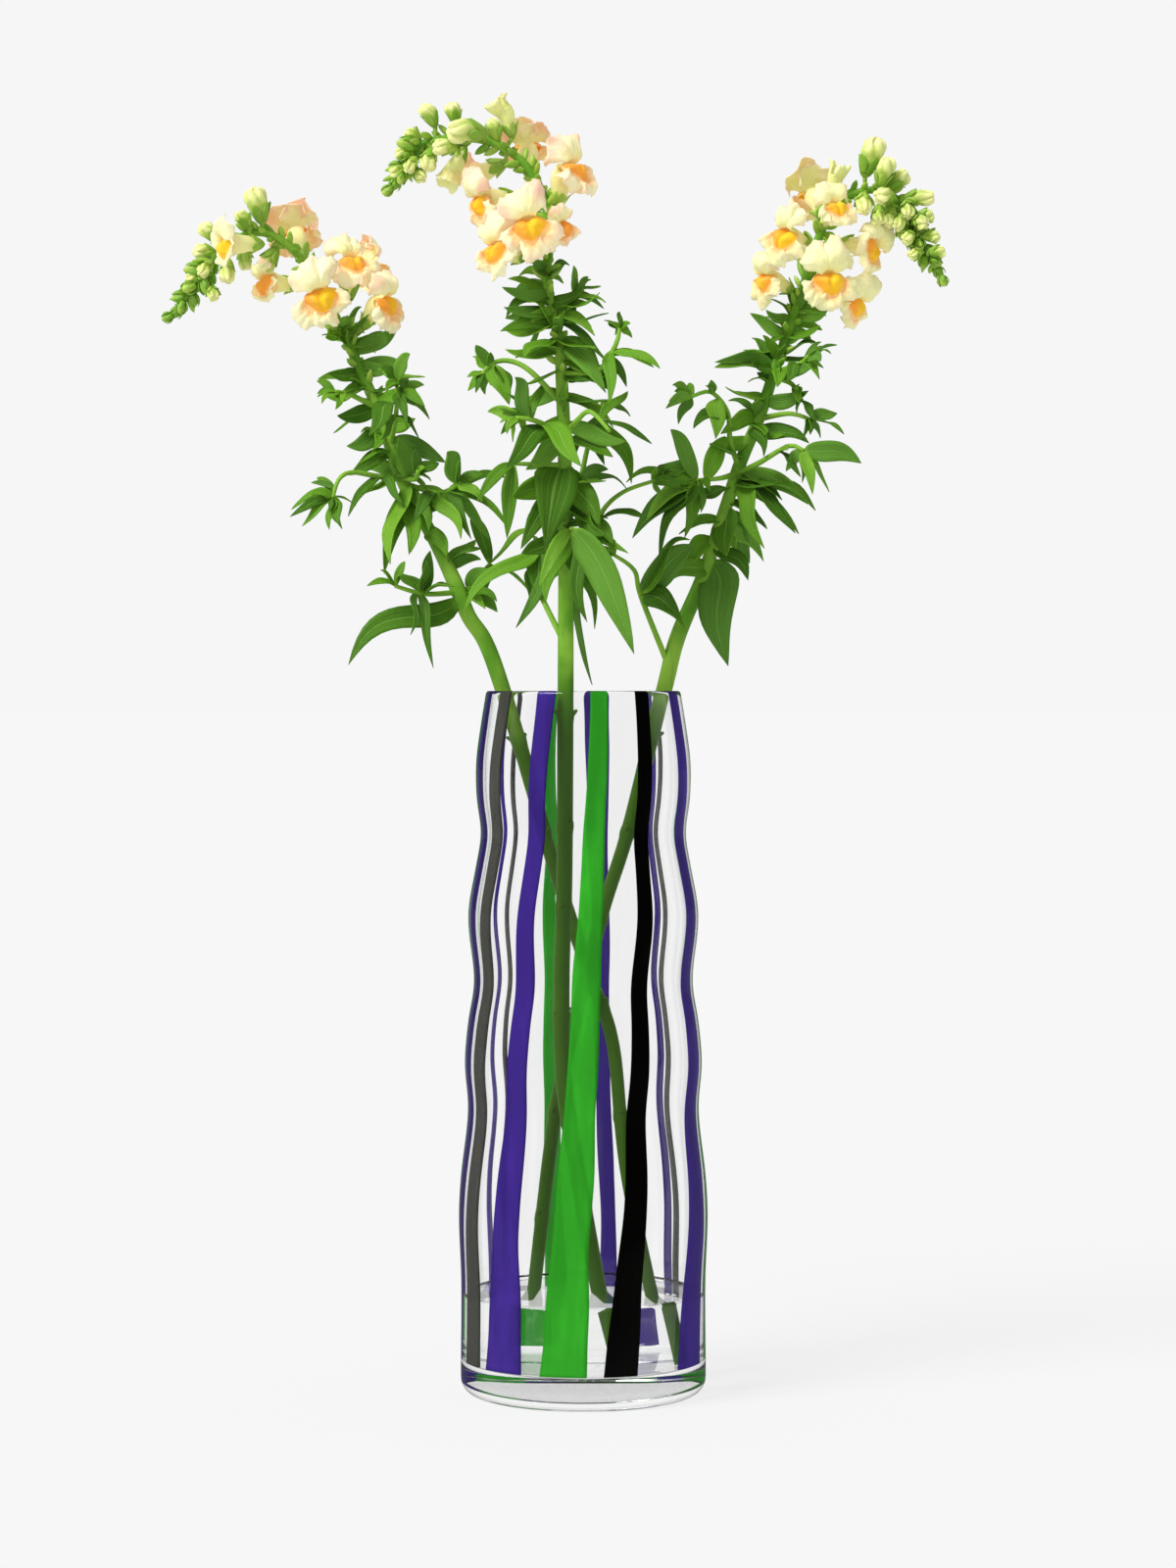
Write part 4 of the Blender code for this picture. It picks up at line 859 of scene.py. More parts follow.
def stemMaterial():
    material, tree, shader = newMaterial("green stem", foliage["stemSockets"])
    streak = speckle(tree, 300, 4, 0.6, (1, 1, 0.08))
    patch = speckle(tree, 34, 3, 0.5)
    shoot, = numbersOf(tree, "warm")
    base = mixed(ease(patch, 0.35, 0.68), foliage["stemMid"], foliage["stemPale"])
    base = mixed(ease(streak, 0.5, 0.75, 0.0, 0.35), base, foliage["stemDark"])
    base = mixed(shoot, base, foliage["stemPale"])
    # painted shade: the stem is darkened from just above the rim down, where it is seen through glass and
    # water
    vaseShade = ease(patch * 0.05 + placeOf(tree, "Object", "Z"), *foliage["shadeHeights"])
    feed(shader.inputs["Base Color"], mixed(vaseShade, base, foliage["stemShadeInVase"]))
    feed(shader.inputs["Roughness"], ease(streak, 0.3, 0.7, 0.42, 0.58))
    bumpy(shader, streak * 0.7 + speckle(tree, 900, 2, 0.5) * 0.3, 0.35, 0.0003)
    return material


def makeStem(side, axis, radii, finish):
    # the main stem, with low rings where leaves have been stripped inside the vase
    shape = newShape()
    line, wide = smoothLine(axis, radii, 2.4 * mm)
    rng = random.Random(40 + len(side))
    scar = foliage["scars"]
    scars = [scar["first"] + scar["apart"] * k + rng.uniform(-0.008, 0.008) for k in range(scar["count"])]
    travelled = [0.0]
    for start, end in zip(line, line[1:]):
        travelled.append(travelled[-1] + (end - start).length)
    for i, way in enumerate(travelled):
        wide[i] += scar["swell"] * mm * sum(exp(-((way - place) / scar["length"]) ** 2) for place in scars)
    addTube(shape, line, wide, 18, ridge=0.035)
    for i in range(1, len(line) - 1):
        for place in scars:
            if travelled[i - 1] < place <= travelled[i]:
                ahead = (line[i + 1] - line[i]).normalized()
                for turn in (0, pi):
                    aside = turnedAside(ahead, place * 400 + turn)
                    root = line[i] + aside * (wide[i] * 0.6)
                    out = root + (aside + ahead * 0.9).normalized() * rng.uniform(2.6, 4.2) * mm
                    addTube(shape, [root, (root + out) / 2, out],
                            [radius * mm for radius in foliage["snag"]], 8, warm=0.5)
    finishPiece("stemMain_" + side, shape, [finish], ["stem_" + side])


def makeShoots(side, shoots, finish):
    shape = newShape()
    for line in shoots:
        thin = [(1.6 - 0.6 * step / (len(line) - 1)) * mm for step in range(len(line))]
        smooth, wide = smoothLine(line, thin, 2.5 * mm)
        addTube(shape, smooth, wide, 10, ridge=0.05, warm=0.4)
    finishPiece("sideShoots_" + side, shape, [finish], ["stem_" + side])


def makeLeaves(side, axis, shoots, finishes):
    shape = newShape()
    rng = random.Random(len(side))
    looks = random.Random(70 + len(side))
    for x0, z0, x1, z1, width, deeper in leafPlan[side]:
        root = nearest(seen(x0, z0, 0), [axis] + shoots)
        tip = seen(x1, z1, root.y / mm + deeper * layout["depthSpread"])
        addLeaf(shape, root, tip, width, rng, looks)
        if width < 9:
            # a shorter leaf beside it fills the tuft
            turn = Matrix.Rotation(looks.choice((-1, 1)) * looks.uniform(0.5, 1.2), 3, "Y")
            turn = Matrix.Rotation(looks.uniform(-0.8, 0.8), 3, "Z") @ turn
            beside = root + turn @ (tip - root) * looks.uniform(0.55, 0.85)
            addLeaf(shape, root, beside, width * looks.uniform(0.7, 0.95), looks, looks)
    for table, lines, droop in ((topLeaves, [axis], -0.7), (lowLeaves, [axis] + shoots, 0.8)):
        for x0, z0, x1, z1, width, deeper in table[side]:
            root = nearest(seen(x0, z0, 0), lines)
            x1 += looks.uniform(-4, 4)
            z1 += looks.uniform(-9, 6)
            tip = seen(x1, z1, root.y / mm + (deeper + looks.uniform(-4, 6)) * layout["depthSpread"])
            addLeaf(shape, root, tip, width * looks.uniform(0.85, 1.3), looks, looks, droop)
    finishPiece("leaves_" + side, shape, finishes, ["stem_" + side], foliage["thickness"], 1)


# open flowers: across, up, depth of the mouth; tube direction; side of the lower lip; bend of the
# lips towards the lower lip in degrees; size; how open. Directions are right, to the viewer, up.
bloomPlan = {
    "left": [
        (-134.5, 561.5, -6, (0.05, 1.0, -0.12), (0.3, 0.0, -1.0), 0, 1.12, 1.0),
        (-103.5, 560, 6, (0.5, 0.45, 0.75), (0.8, 0.3, -0.5), 40, 1.0, 1.0),
        (-120, 578.5, 11, (0.0, 0.3, 1.0), (0.5, 0.8, 0.0), 35, 1.05, 1.0),
        (-110, 576.5, 40, (0.55, -0.55, 0.6), (0.6, -0.3, -0.5), 20, 0.95, 1.0),
        (-147, 594.5, 34, (-0.25, -0.45, 0.85), (0.0, -0.8, -0.5), 30, 1.0, 1.0),
        (-161, 568.5, 0, (-0.8, 0.6, 0.05), (0.15, 0.3, -1.0), 0, 0.95, 0.7),
        (-181, 588, -19, (-0.8, 0.45, -0.05), (0.1, 0.3, -1.0), 0, 1.0, 0.75),
    ],
    "centre": [
        (-27.5, 597.5, -82, (-0.1, 1.0, 0.1), (0.2, 0.0, -1.0), 0, 1.12, 1.0),
        (-43.5, 585, -72, (-0.65, 0.75, 0.15), (0.1, 0.2, -1.0), 0, 1.0, 1.0),
        (-51.5, 611, -58, (-0.8, 0.4, -0.1), (-0.4, 0.2, -0.9), 10, 1.0, 1.0),
        (-9, 627, -52, (0.25, 0.2, 0.95), (0.9, 0.4, -0.2), 40, 1.12, 1.0),
        (-11.5, 596.5, -69, (0.35, 0.85, 0.0), (0.2, 0.0, -1.0), 0, 0.75, 0.8),
        (-28.5, 637, -30, (-0.1, -0.5, 0.9), (0.0, -0.9, -0.3), 20, 1.0, 0.9),
        (-41, 658.5, -46, (-0.3, 0.1, 0.95), (-0.9, 0.2, -0.2), 20, 0.85, 0.3),
        (-55, 622.5, -27, (-0.8, -0.5, -0.3), (-0.4, -0.4, -0.8), 0, 1.0, 0.85),
        (-68, 622.5, -45, (-0.4, 0.1, -0.85), (-0.2, 0.5, -0.5), 0, 0.9, 0.45),
    ],
    "right": [
        (125, 570, -3, (0.25, 0.95, 0.0), (0.05, 0.0, -1.0), 0, 1.12, 1.0),
        (138.5, 558, 13, (0.75, 0.6, -0.3), (0.1, 0.2, -1.0), 0, 0.9, 1.0),
        (104, 592, 1, (-0.6, 0.75, 0.1), (-0.5, 0.1, -0.85), 0, 1.0, 1.0),
        (94.5, 571, 19, (-0.75, 0.5, 0.35), (-0.6, 0.3, -0.7), 20, 0.9, 1.0),
        (128, 606, 1, (0.35, 0.8, 0.5), (0.35, 0.4, -0.85), 0, 0.85, 1.0),
        (116.5, 614, 37, (-0.35, -0.5, 0.75), (-0.2, -0.8, -0.3), 20, 1.0, 1.0),
        (146, 586.5, 12, (0.85, 0.5, -0.15), (0.1, 0.6, -0.8), 0, 1.0, 1.0),
        (129, 625, 16, (0.1, 0.1, 0.98), (0.9, 0.3, 0.0), 10, 0.8, 0.3),
    ],
}

# pale buds: across, up, depth of the base; direction; length; width
budPlan = {
    "left": [
        (-164, 600, 9, (-0.2, 0.2, 1.0), 17, 12), (-157, 585, 15, (-0.4, 0.1, -0.6), 14, 10),
        (-187, 590, 8, (-0.6, 0.3, 0.75), 11, 9), (-188, 583, 6, (-0.9, 0.3, 0.2), 11, 8.5),
        (-181, 579, 0, (-0.1, 0.5, -0.9), 12, 8.5), (-173, 586, 17, (0.0, -0.7, -1.0), 12, 8),
    ],
    "centre": [
        (-51, 644.5, -55, (-1.0, 0.35, 0.12), 18, 13), (-66, 637, -54, (-1.0, 0.7, 0.1), 11, 9),
        (-77, 636, -49, (-0.35, 0.4, -1.0), 11, 9), (-65, 650, -44, (-0.2, 0.1, 1.0), 10, 8.5),
        (-76, 649, -46, (-0.4, 0.2, 1.0), 11, 9),
    ],
    "right": [
        (144, 624, 15, (0.28, 0.1, 1.0), 19, 12.5), (151.5, 618, 8, (0.25, 0.3, 1.0), 15, 10),
        (156, 617, 13, (0.8, 0.0, 0.7), 12, 9.5), (164, 611, 12, (1.0, 0.2, 0.1), 15, 9),
        (158, 612, 3, (-1.0, 0.8, 0.1), 11, 9), (143, 613, 8, (-0.05, 0.7, -0.8), 12, 9),
    ],
}

# younger, greener buds on the stem itself, in the same way
youngBuds = {
    "left": [
        (-190, 578, -1, (-0.5, 0.6, -0.5), 10, 7.5), (-194, 576, 2, (-0.9, 0.2, 0.0), 8, 7),
        (-195, 570, 1, (-0.9, 0.4, 0.1), 8, 6.5), (-190, 566, -1, (0.3, 0.7, -0.9), 8, 6.5),
        (-171, 597, 5, (-0.5, 0.2, 0.9), 9, 7.5),
    ],
    "centre": [
        (-84, 641, -45, (-0.7, 0.2, 0.6), 8, 7.5), (-88, 634, -47, (-1.0, 0.3, 0.1), 8, 7),
        (-86, 631.5, -49, (-0.5, 0.7, -0.8), 8.5, 7), (-91, 626, -46, (-0.9, 0.4, -0.2), 8, 6.5),
        (-86, 625.5, -47, (0.6, 0.6, -0.6), 8, 6.5), (-44, 642, -48, (-0.2, 0.2, 1.0), 10, 7.5),
    ],
    "right": [
        (170, 602, 9, (1.0, 0.2, 0.1), 9, 7.5), (165, 609, 6, (0.0, 0.7, -0.7), 10, 7.5),
        (163, 603, 5, (-0.4, 0.6, -0.8), 9, 7.5), (169, 600, 5, (0.6, 0.8, -0.2), 9, 7.5),
        (158, 606, 7, (-0.3, 0.5, -1.0), 10, 8), (151, 607, 7, (-0.1, 0.6, -1.0), 10, 8),
        (174, 592, 6, (0.9, 0.5, 0.0), 8, 7), (168, 593, 4, (-0.6, 0.7, -0.4), 8, 7),
        (177, 584, 5, (0.9, 0.4, 0.1), 8, 6.5), (172, 584, 4, (-0.7, 0.6, -0.2), 8, 6.5),
    ],
}
tipBuds = {"left": (30, 9), "centre": (28, 8), "right": (42, 11)}   # stretch of the head, count

petals = {
    "tube": [(0.4, 0.2), (1.4, 2.1), (3.4, 3.1), (6.0, 3.5), (9.0, 4.1), (12.0, 4.7), (14.0, 5.1),
             (15.6, 5.6)],
    "throatRadius": 4.9,
    "hinge": 14,            # where the lips bend away from the tube
    "thickness": 0.3,
    "rows": 14,
    "columns": 24,
    "crumple": [(0.15, 2.3), (0.38, 0.8), (0.95, 0.22)],     # how fine and how strong
    "edgeStray": 0.09,
    "edgeTeeth": 0.018,
    "pleats": 0.07,
    "midFold": 0.8,
    "cream": (0.880, 0.800, 0.350),
    "white": (0.910, 0.840, 0.540),
    "peach": (0.940, 0.500, 0.220),
    "pink": (0.920, 0.500, 0.380),
    "green": (0.640, 0.740, 0.230),
    "yellow": (0.900, 0.520, 0.006),
    "orange": (0.870, 0.310, 0.030),
    "lime": {"left": 0.0, "centre": 0.05, "right": 0.32},    # how green the open flowers are
    # centre and half spread of each lobe in degrees from the lower side, reach, and its run
    # outwards as (share of the reach, how far ahead) from the throat to the edge
    "lobes": [
        (166, 42, 18.2, [(0.0, 14.0), (-0.06, 19.5), (-0.02, 23.4), (0.28, 25.8), (0.68, 25.0), (1.0, 21.4)]),
        (194, 42, 17.4, [(0.0, 14.0), (-0.06, 19.0), (-0.03, 22.8), (0.26, 25.2), (0.66, 24.4), (1.0, 20.8)]),
        (56, 37, 15.0, [(0.0, 14.0), (0.22, 17.6), (0.50, 21.2), (0.78, 21.4), (1.0, 18.8)]),
        (304, 37, 15.0, [(0.0, 14.0), (0.22, 17.6), (0.50, 21.2), (0.78, 21.4), (1.0, 18.8)]),
        (0, 36, 16.2, [(0.0, 14.0), (0.22, 18.0), (0.50, 21.9), (0.80, 22.0), (1.0, 19.6)]),
    ],
    # the emission is a little of the light that comes through from behind
    "sockets": {
        "Roughness": 0.5, "Specular IOR Level": 0.3, "Sheen Weight": 0.15, "Emission Strength": 0.15,
        "Subsurface Weight": 0.25, "Subsurface Radius": (1.0, 0.7, 0.4), "Subsurface Scale": 0.0012,
    },
}

# peach at the edges, orange in the palate and how far the upper lip spreads, flower by flower
bloomLooks = {
    "left": [(0.35, 0.25, 1.0), (0.6, 0.35, 1.2), (0.6, 0.6, 1.0), (0.8, 0.3, 1.5), (0.9, 0.3, 1.9),
             (0.6, 0.8, 1.0), (0.0, 0.1, 2.0)],
    "centre": [(0.8, 0.35, 1.1), (0.5, 0.5, 1.0), (1.0, 0.4, 1.2), (0.8, 0.7, 1.0), (0.9, 0.9, 1.0),
               (0.8, 0.3, 1.6), (0.05, 0.1, 1.2), (1.1, 0.3, 1.6), (0.05, 0.1, 1.2)],
    "right": [(0.5, 0.2, 1.2), (0.4, 0.25, 1.2), (0.55, 0.3, 1.0), (0.5, 0.5, 1.2), (0.5, 0.2, 1.3),
              (0.5, 0.3, 2.0), (0.45, 0.3, 1.5), (0.05, 0.1, 1.2)],
}


def addBloom(shape, mouth, forward, lower, bend, size, opened, rng, looks):
    frameOf = axesOf(forward, lower)
    base = mouth - frameOf @ Vector((18 * size * mm, 0, 0))
    peach, orange, spread, lime = looks
    back = 1 - opened
    seed = Vector([rng.uniform(0, 90) for _ in range(3)])
    hinge = Vector((petals["hinge"], 0, 0))

    def put(spot, crumple):
        turn = Matrix.Rotation(radians(bend) * smoothStep(spot.x, 7, 15), 3, "Y")
        for fineness, strength in petals["crumple"]:
            spot += noise.noise_vector(spot * fineness + seed) * crumple * strength
        return base + frameOf @ ((hinge + turn @ (spot - hinge)) * size * mm)

    # the tube, with a low pouch under its foot
    def tubeSpot(i, k):
        t = i / 21
        ahead, radius = run(petals["tube"], t)
        turn = 2 * pi * k / 28
        pouch = 1 + 0.22 * exp(-((ahead - 3.2) / 2.2) ** 2) * max(cos(turn), 0)
        place = around(ahead, radius * pouch * (1 + 0.03 * cos(5 * turn)), turn)
        place.y *= 0.96
        return put(place, 0.25 * t), 0.45 * ahead / 15.4, sin(turn) * 0.6, back, peach * 0.35 * t

    addSheet(shape, 22, 28, tubeSpot, closed=True)

    # five lobes, the first two of them the upper lip
    for number, (centre, half, reach, plan) in enumerate(petals["lobes"]):
        phase = rng.uniform(0, 6)
        ruffle = rng.uniform(0.7, 1.6)
        reach *= rng.uniform(0.90, 1.06)
        tilt = rng.uniform(-1.6, 1.6)
        flare = rng.uniform(-1.8, 1.4)
        centre += rng.uniform(-6, 6)
        upper = number < 2
        if upper:
            centre = 180 + (centre - 180) * spread
            half *= 0.5 + 0.5 * spread

        def lobeSpot(r, c):
            v = r / petals["rows"]
            u = c / petals["columns"] * 2 - 1
            share, ahead = run(plan, v)
            stray = petals["edgeStray"] * noise.noise(Vector((u * 2.6, phase, number)))
            stray += petals["edgeTeeth"] * sin(u * 23 + phase)
            far = reach * (1 - 0.36 * abs(u) ** 2.6) * (1 + stray * v)
            far *= 1 + 0.045 * sin(u * 6 + phase) * v
            radius = petals["throatRadius"] + (far - petals["throatRadius"]) * share
            ahead += tilt * u * v + flare * v ** 2 + (0.5 if number in (0, 4) else 0.0) * v
            ahead -= (4.6 if upper else 2.2) * u * u * v * (1 if upper else v)
            ahead += ruffle * v ** 2.2 * (0.9 * sin(u * 5.5 + phase) + 0.45 * sin(u * 12 + phase * 2))
            ahead += petals["midFold"] * v * exp(-(u / 0.14) ** 2) * (-1 if upper else 1)
            ahead += petals["pleats"] * v * sin(u * 27 + phase)
            # a flower that is still shut draws its lobes together
            ahead = ahead * opened + (14 + (9.5 + 0.12 * reach) * v) * back
            radius = radius * opened + (4.9 + 1.5 * sin(v * pi * 0.8) - 3.6 * v ** 3) * back
            edge = 0.8 * peach * smoothStep(v + 0.15 * sin(u * 4 + phase), 0.5, 1.05)
            if not upper:
                edge = edge * 0.7 + (0.35 + 0.65 * peach) * 1.15 * smoothStep(v, 0.9, 0.3) * opened
            place = around(ahead, radius, radians(centre + half * u * (0.9 + 0.1 * v)))
            return put(place, 0.25 + 0.75 * v), 0.45 + 0.55 * v, u, max(back * (1 - 0.3 * v), lime), edge

        addSheet(shape, petals["rows"] + 1, petals["columns"] + 1, lobeSpot)

    # the wide two-humped palate that shuts the mouth
    def palateSpot(i, k):
        t = i / 16
        turn = 2 * pi * k / 40
        low = (1 + cos(turn)) / 2
        spill = smoothStep(low, 0.30, 0.80)
        rimAhead = 15.2 + 5.4 * low ** 0.8
        rimRadius = 2.9 + 2.8 * sin(turn) ** 2 + 7.0 * low ** 1.6
        front = cos(t * pi / 2) ** 0.8 * (1 - spill) + (0.5 + 0.5 * cos(pi * t)) * spill
        place = around(0, rimRadius * (sin(t * pi / 2) * (1 - spill) + t * spill), turn)
        place.z -= 3.0 * (1 - t)
        aside = place.y
        place.x = rimAhead * (1 - front) + 24.6 * front
        place.x += 0.10 * cos(aside * 3.4) * front - exp(-(aside / 1.5) ** 2) * 1.8 * front ** 0.5
        gold = 2.0 - 1.4 * smoothStep(t, 0.34, 0.92) * spill
        gold -= 0.8 * smoothStep(t, 0.70, 1.0) * smoothStep(low, 0.80, 0.30)
        tint = orange + 0.75 * (t - 0.45) - 0.3 * sin(turn) * (1 if orange < 0.5 else 0)
        return put(place, 0.35), 0.6, aside / 7, min(max(tint, 0), 1), gold

    if opened > 0.5:
        addSheet(shape, 17, 40, palateSpot, closed=True)
    return base


def petalMaterial():
    # warm runs from cream at 0 through peach at 1 to the yellow of the palate at 2
    material, tree, shader = newMaterial("petal", petals["sockets"])
    along, across, tone, warm = numbersOf(tree, *pointNumbers)
    patch = speckle(tree, 90, 3, 0.55)
    fine = speckle(tree, 330, 3, 0.6)
    palate = ease(warm, 1.0, 1.5)
    lobe = palate.rest()
    base = mixed(ease(along, 0.55, 1.0), petals["cream"], petals["white"])
    # greener and a little darker in noise patches and down into the throat: partly the petals' own green,
    # partly painted shade in the folds and in the throat under the lips
    base = mixed(ease(patch, 0.52, 0.75, 0.0, 0.42), base, petals["green"])
    throatGreenAndShade = ease(along, 0.36, 0.05, 0.0, 0.55).worked("MAXIMUM", tone * lobe * 0.85)
    base = mixed(throatGreenAndShade, base, petals["green"])
    # fine veins fan out to the edge, and lie a little greener and rosier
    vein = abs((across * 19.0 + patch * 6.0).worked("SINE")) ** 5.0
    blush = ease(patch * 0.7 + warm * 0.95, 0.38, 1.25) + vein * warm * 0.12
    rosy = mixed(ease(along, 0.66, 0.92), petals["peach"], petals["pink"])
    base = mixed(blush.worked("MINIMUM", 0.8), base, rosy)
    base = mixed(vein * 0.10, base, petals["green"])
    gold = mixed(ease(fine * 0.5 + tone, 0.25, 1.15), petals["yellow"], petals["orange"])
    base = mixed(palate, base, gold)
    feed(shader.inputs["Base Color"], base)
    feed(shader.inputs["Emission Color"], base)
    bumpy(shader, vein * lobe * 0.13 + fine * 0.3 + patch * 1.6, 0.5, 0.0009)
    return material


buds = {
    # how far along and how wide, as shares of the bud's length and width
    "run": [(0.14, 0.28), (0.30, 0.37), (0.46, 0.43), (0.62, 0.5), (0.80, 0.48), (0.94, 0.36), (1.0, 0.10)],
    "foot": (0.2, 0.1),
    "fold": 0.42,
    "lop": 0.16,
    "lobed": 0.11,
    "droop": 0.05,
    "green": (0.460, 0.620, 0.070),
    "pale": (0.860, 0.860, 0.360),
    "young": 0.6,           # tone of the younger, greener buds
    "sockets": {
        "Roughness": 0.5, "Sheen Weight": 0.25, "Subsurface Weight": 0.35,
        "Subsurface Radius": (0.8, 1.0, 0.4), "Subsurface Scale": 0.0025,
    },
}


def addBud(shape, base, forward, length, width, rng, tone=0.0):
    frameOf = axesOf(forward, Vector((0.1, 0.3, -1)))
    plan = [buds["foot"]] + [(length * along, width * wide) for along, wide in buds["run"]]
    turnStart = rng.uniform(0, 6)
    seed = Vector((turnStart * 9, 0, 0))

    def budSpot(i, k):
        ahead, radius = run(plan, i / 18)
        t = ahead / length
        turn = 2 * pi * k / 40
        fold = 1 - abs(sin(2.5 * (turn + turnStart + 1.1 * t))) ** 0.6
        crease = 1 - buds["fold"] * smoothStep(t, 0.25, 0.9) * fold
        lop = 1 + buds["lop"] * cos(turn) * smoothStep(t, 0.4, 0.9)
        lobed = buds["lobed"] * length * smoothStep(t, 0.70, 1.0) * (0.35 - fold)
        place = around(ahead + lobed, radius * crease * lop, turn)
        place.z -= buds["droop"] * length * t * t
        place += noise.noise_vector(place * 0.28 + seed) * 1.1 * t
        return base + frameOf @ (place * mm), t - 0.35 * fold, sin(turn), tone, 0.0

    rows = [[budSpot(i, k) for k in range(40)] for i in range(19)]
    tip = Vector((length * 0.985, 0, -buds["droop"] * length)) * mm
    rows.append([(base + frameOf @ tip, 1.0, 0.0, tone, 0.0)] * 40)
    addGrid(shape, rows, closed=True)


def budMaterial():
    material, tree, shader = newMaterial("pale bud", buds["sockets"])
    along, tone = numbersOf(tree, "along", "tone")
    reach = speckle(tree, 140, 3, 0.55) * 0.3 + along - tone * 0.30
    feed(shader.inputs["Base Color"], mixed(ease(reach, 0.35, 1.1), buds["green"], buds["pale"]))
    bumpy(shader, speckle(tree, 600, 2, 0.5), 0.3, 0.0003)
    return material


sepals = {
    "cup": [(-1.6, 0.6), (-1.2, 1.5), (-0.4, 2.1), (0.8, 2.5)],
    "run": [(-0.6, 2.1), (1.4, 3.2), (3.4, 4.1), (5.4, 4.9), (7.2, 5.9)],
    "tipBud": [(-0.1, 0.25), (0.1, 0.75), (0.4, 1.0), (0.7, 0.78), (0.9, 0.36), (0.98, 0.06)],
    "stalk": [1.0, 0.9, 1.1],       # radii from the stem to the flower
    "tipStalk": [0.8, 0.8, 0.9],
    "thickness": 0.3,
    "dark": (0.185, 0.410, 0.020),
    "light": (0.440, 0.620, 0.085),
    "mottled": (0.440, 0.630, 0.170),
    "sockets": {
        "Roughness": 0.5, "Subsurface Weight": 0.2, "Subsurface Radius": (0.7, 1.0, 0.3),
        "Subsurface Scale": 0.0015,
    },
}
bracts = {"apart": 4.6, "turn": 137.5, "reach": (5.5, 11.0), "width": (3.4, 5.4)}


def addSepals(shape, root, base, forward, size, looks):
    # flower stalk and five pointed sepals round a flower's foot
    frameOf = axesOf(forward, Vector((0.1, 0.2, -1)))
    foot = base + frameOf @ Vector((-1.2 * size * mm, 0, 0))
    middle = (root + foot) / 2 - up * (root - foot).length * 0.08
    line, wide = smoothLine([root, middle, foot], [radius * mm for radius in sepals["stalk"]], 2 * mm)
    addTube(shape, line, wide, 8, tone=0.6)

    def put(ahead, radius, turn):
        return base + frameOf @ (around(ahead, radius, turn) * size * mm)

    addGrid(shape, [[(put(*ring, 2 * pi * k / 15), 0.0, 0.0, 0.6, 0.0) for k in range(15)]
                    for ring in sepals["cup"]], closed=True)
    for number in range(5):
        spread = looks.uniform(0.85, 1.12)
        tone = looks.uniform(0.35, 0.8)

        def sepalSpot(r, c):
            v = r / 6
            u = c / 2 - 1
            ahead, radius = run(sepals["run"], v)
            half = radians(42) * (1 - v) ** 0.6 * (1 + 0.5 * v)
            rise = radius * (1 + (spread - 1) * v) - 0.25 * u * u
            return put(ahead, rise, radians(72 * number) + half * u), 0.35 + 0.6 * v, u, tone, 0.0

        addSheet(shape, 7, 5, sepalSpot)


def addTipBud(shape, root, forward, reach, size, looks):
    # a small green bud at the head's tip, shut in its sepals
    frameOf = axesOf(forward, Vector((0.2, 0.9, 0.1)))
    foot = root + forward.normalized() * reach * mm
    tone = looks.uniform(0.3, 0.7)
    addTube(shape, [root, (root + foot) / 2, foot],
            [radius * mm for radius in sepals["tipStalk"]], 6, tone=tone)

    def put(t, outwards, more, turn):
        ahead, radius = run(sepals["tipBud"], t)
        radius = radius * size / 2 * outwards + more
        return foot + frameOf @ (around(ahead * size * 1.4, radius, turn) * mm)

    def budSpot(i, k):
        t = i / 8
        turn = 2 * pi * k / 15
        place = put(t, 1 - 0.12 * abs(sin(2.5 * turn)) ** 4, 0, turn)
        return place, 0.35 + 0.3 * t, 0.0, tone + 0.35 * t, 0.0

    addSheet(shape, 9, 15, budSpot, closed=True)
    for number in range(5):
        def sepalSpot(r, c):
            v = r / 4
            turn = radians(72 * number + 20) + radians(38) * (1 - v) ** 0.8 * (c - 1)
            return put(0.12 + 0.62 * v, 1.06, 0.35 + 0.9 * v, turn), 0.5 + 0.4 * v, c - 1.0, tone * 0.6, 0.0

        addSheet(shape, 5, 3, sepalSpot)


def addBract(shape, root, forward, reach, wide, tone):
    # a small pointed leaf on the head's stem
    frameOf = axesOf(forward, Vector((0.1, 0.9, 0.2)))

    def bractSpot(r, c):
        v = r / 6
        u = c / 2 - 1
        half = wide / 2 * (0.45 + 1.6 * v) * (1 - v) ** 0.8
        rise = reach * (0.12 * sin(pi * v) + 0.10 * v * v) - 0.45 * half * u * u
        return root + frameOf @ (Vector((reach * v, half * u, rise)) * mm), 0.35 + 0.6 * v, u, tone, 0.0

    addSheet(shape, 7, 5, bractSpot)


def sepalMaterial():
    material, tree, shader = newMaterial("sepal", sepals["sockets"])
    tone, = numbersOf(tree, "tone")
    base = mixed(ease(tone, 0.2, 1.0), sepals["dark"], sepals["light"])
    base = mixed(ease(speckle(tree, 200, 3, 0.55), 0.5, 0.8, 0.0, 0.5), base, sepals["mottled"])
    feed(shader.inputs["Base Color"], base)
    bumpy(shader, speckle(tree, 800, 2, 0.5), 0.4, 0.0003)
    return material


def addTipBuds(shape, side, line, looks):
    stretch, count = tipBuds[side]
    for number in range(count):
        share = number / (count - 1)
        travel = (1.5 + (stretch - 1.5) * share ** 0.85) * mm
        for near, far in zip(line, line[1:]):
            step = (far - near).length
            if travel <= step:
                break
            travel -= step
        ahead = (near - far).normalized()
        root = near - ahead * min(travel, step * 0.98)
        forward = turnedAside(ahead, radians(bracts["turn"] * number)) * (0.35 + 0.5 * share) + ahead * 0.65
        addTipBud(shape, root, forward, 0.8 + 1.8 * share, 4.4 + 2.8 * share, looks)


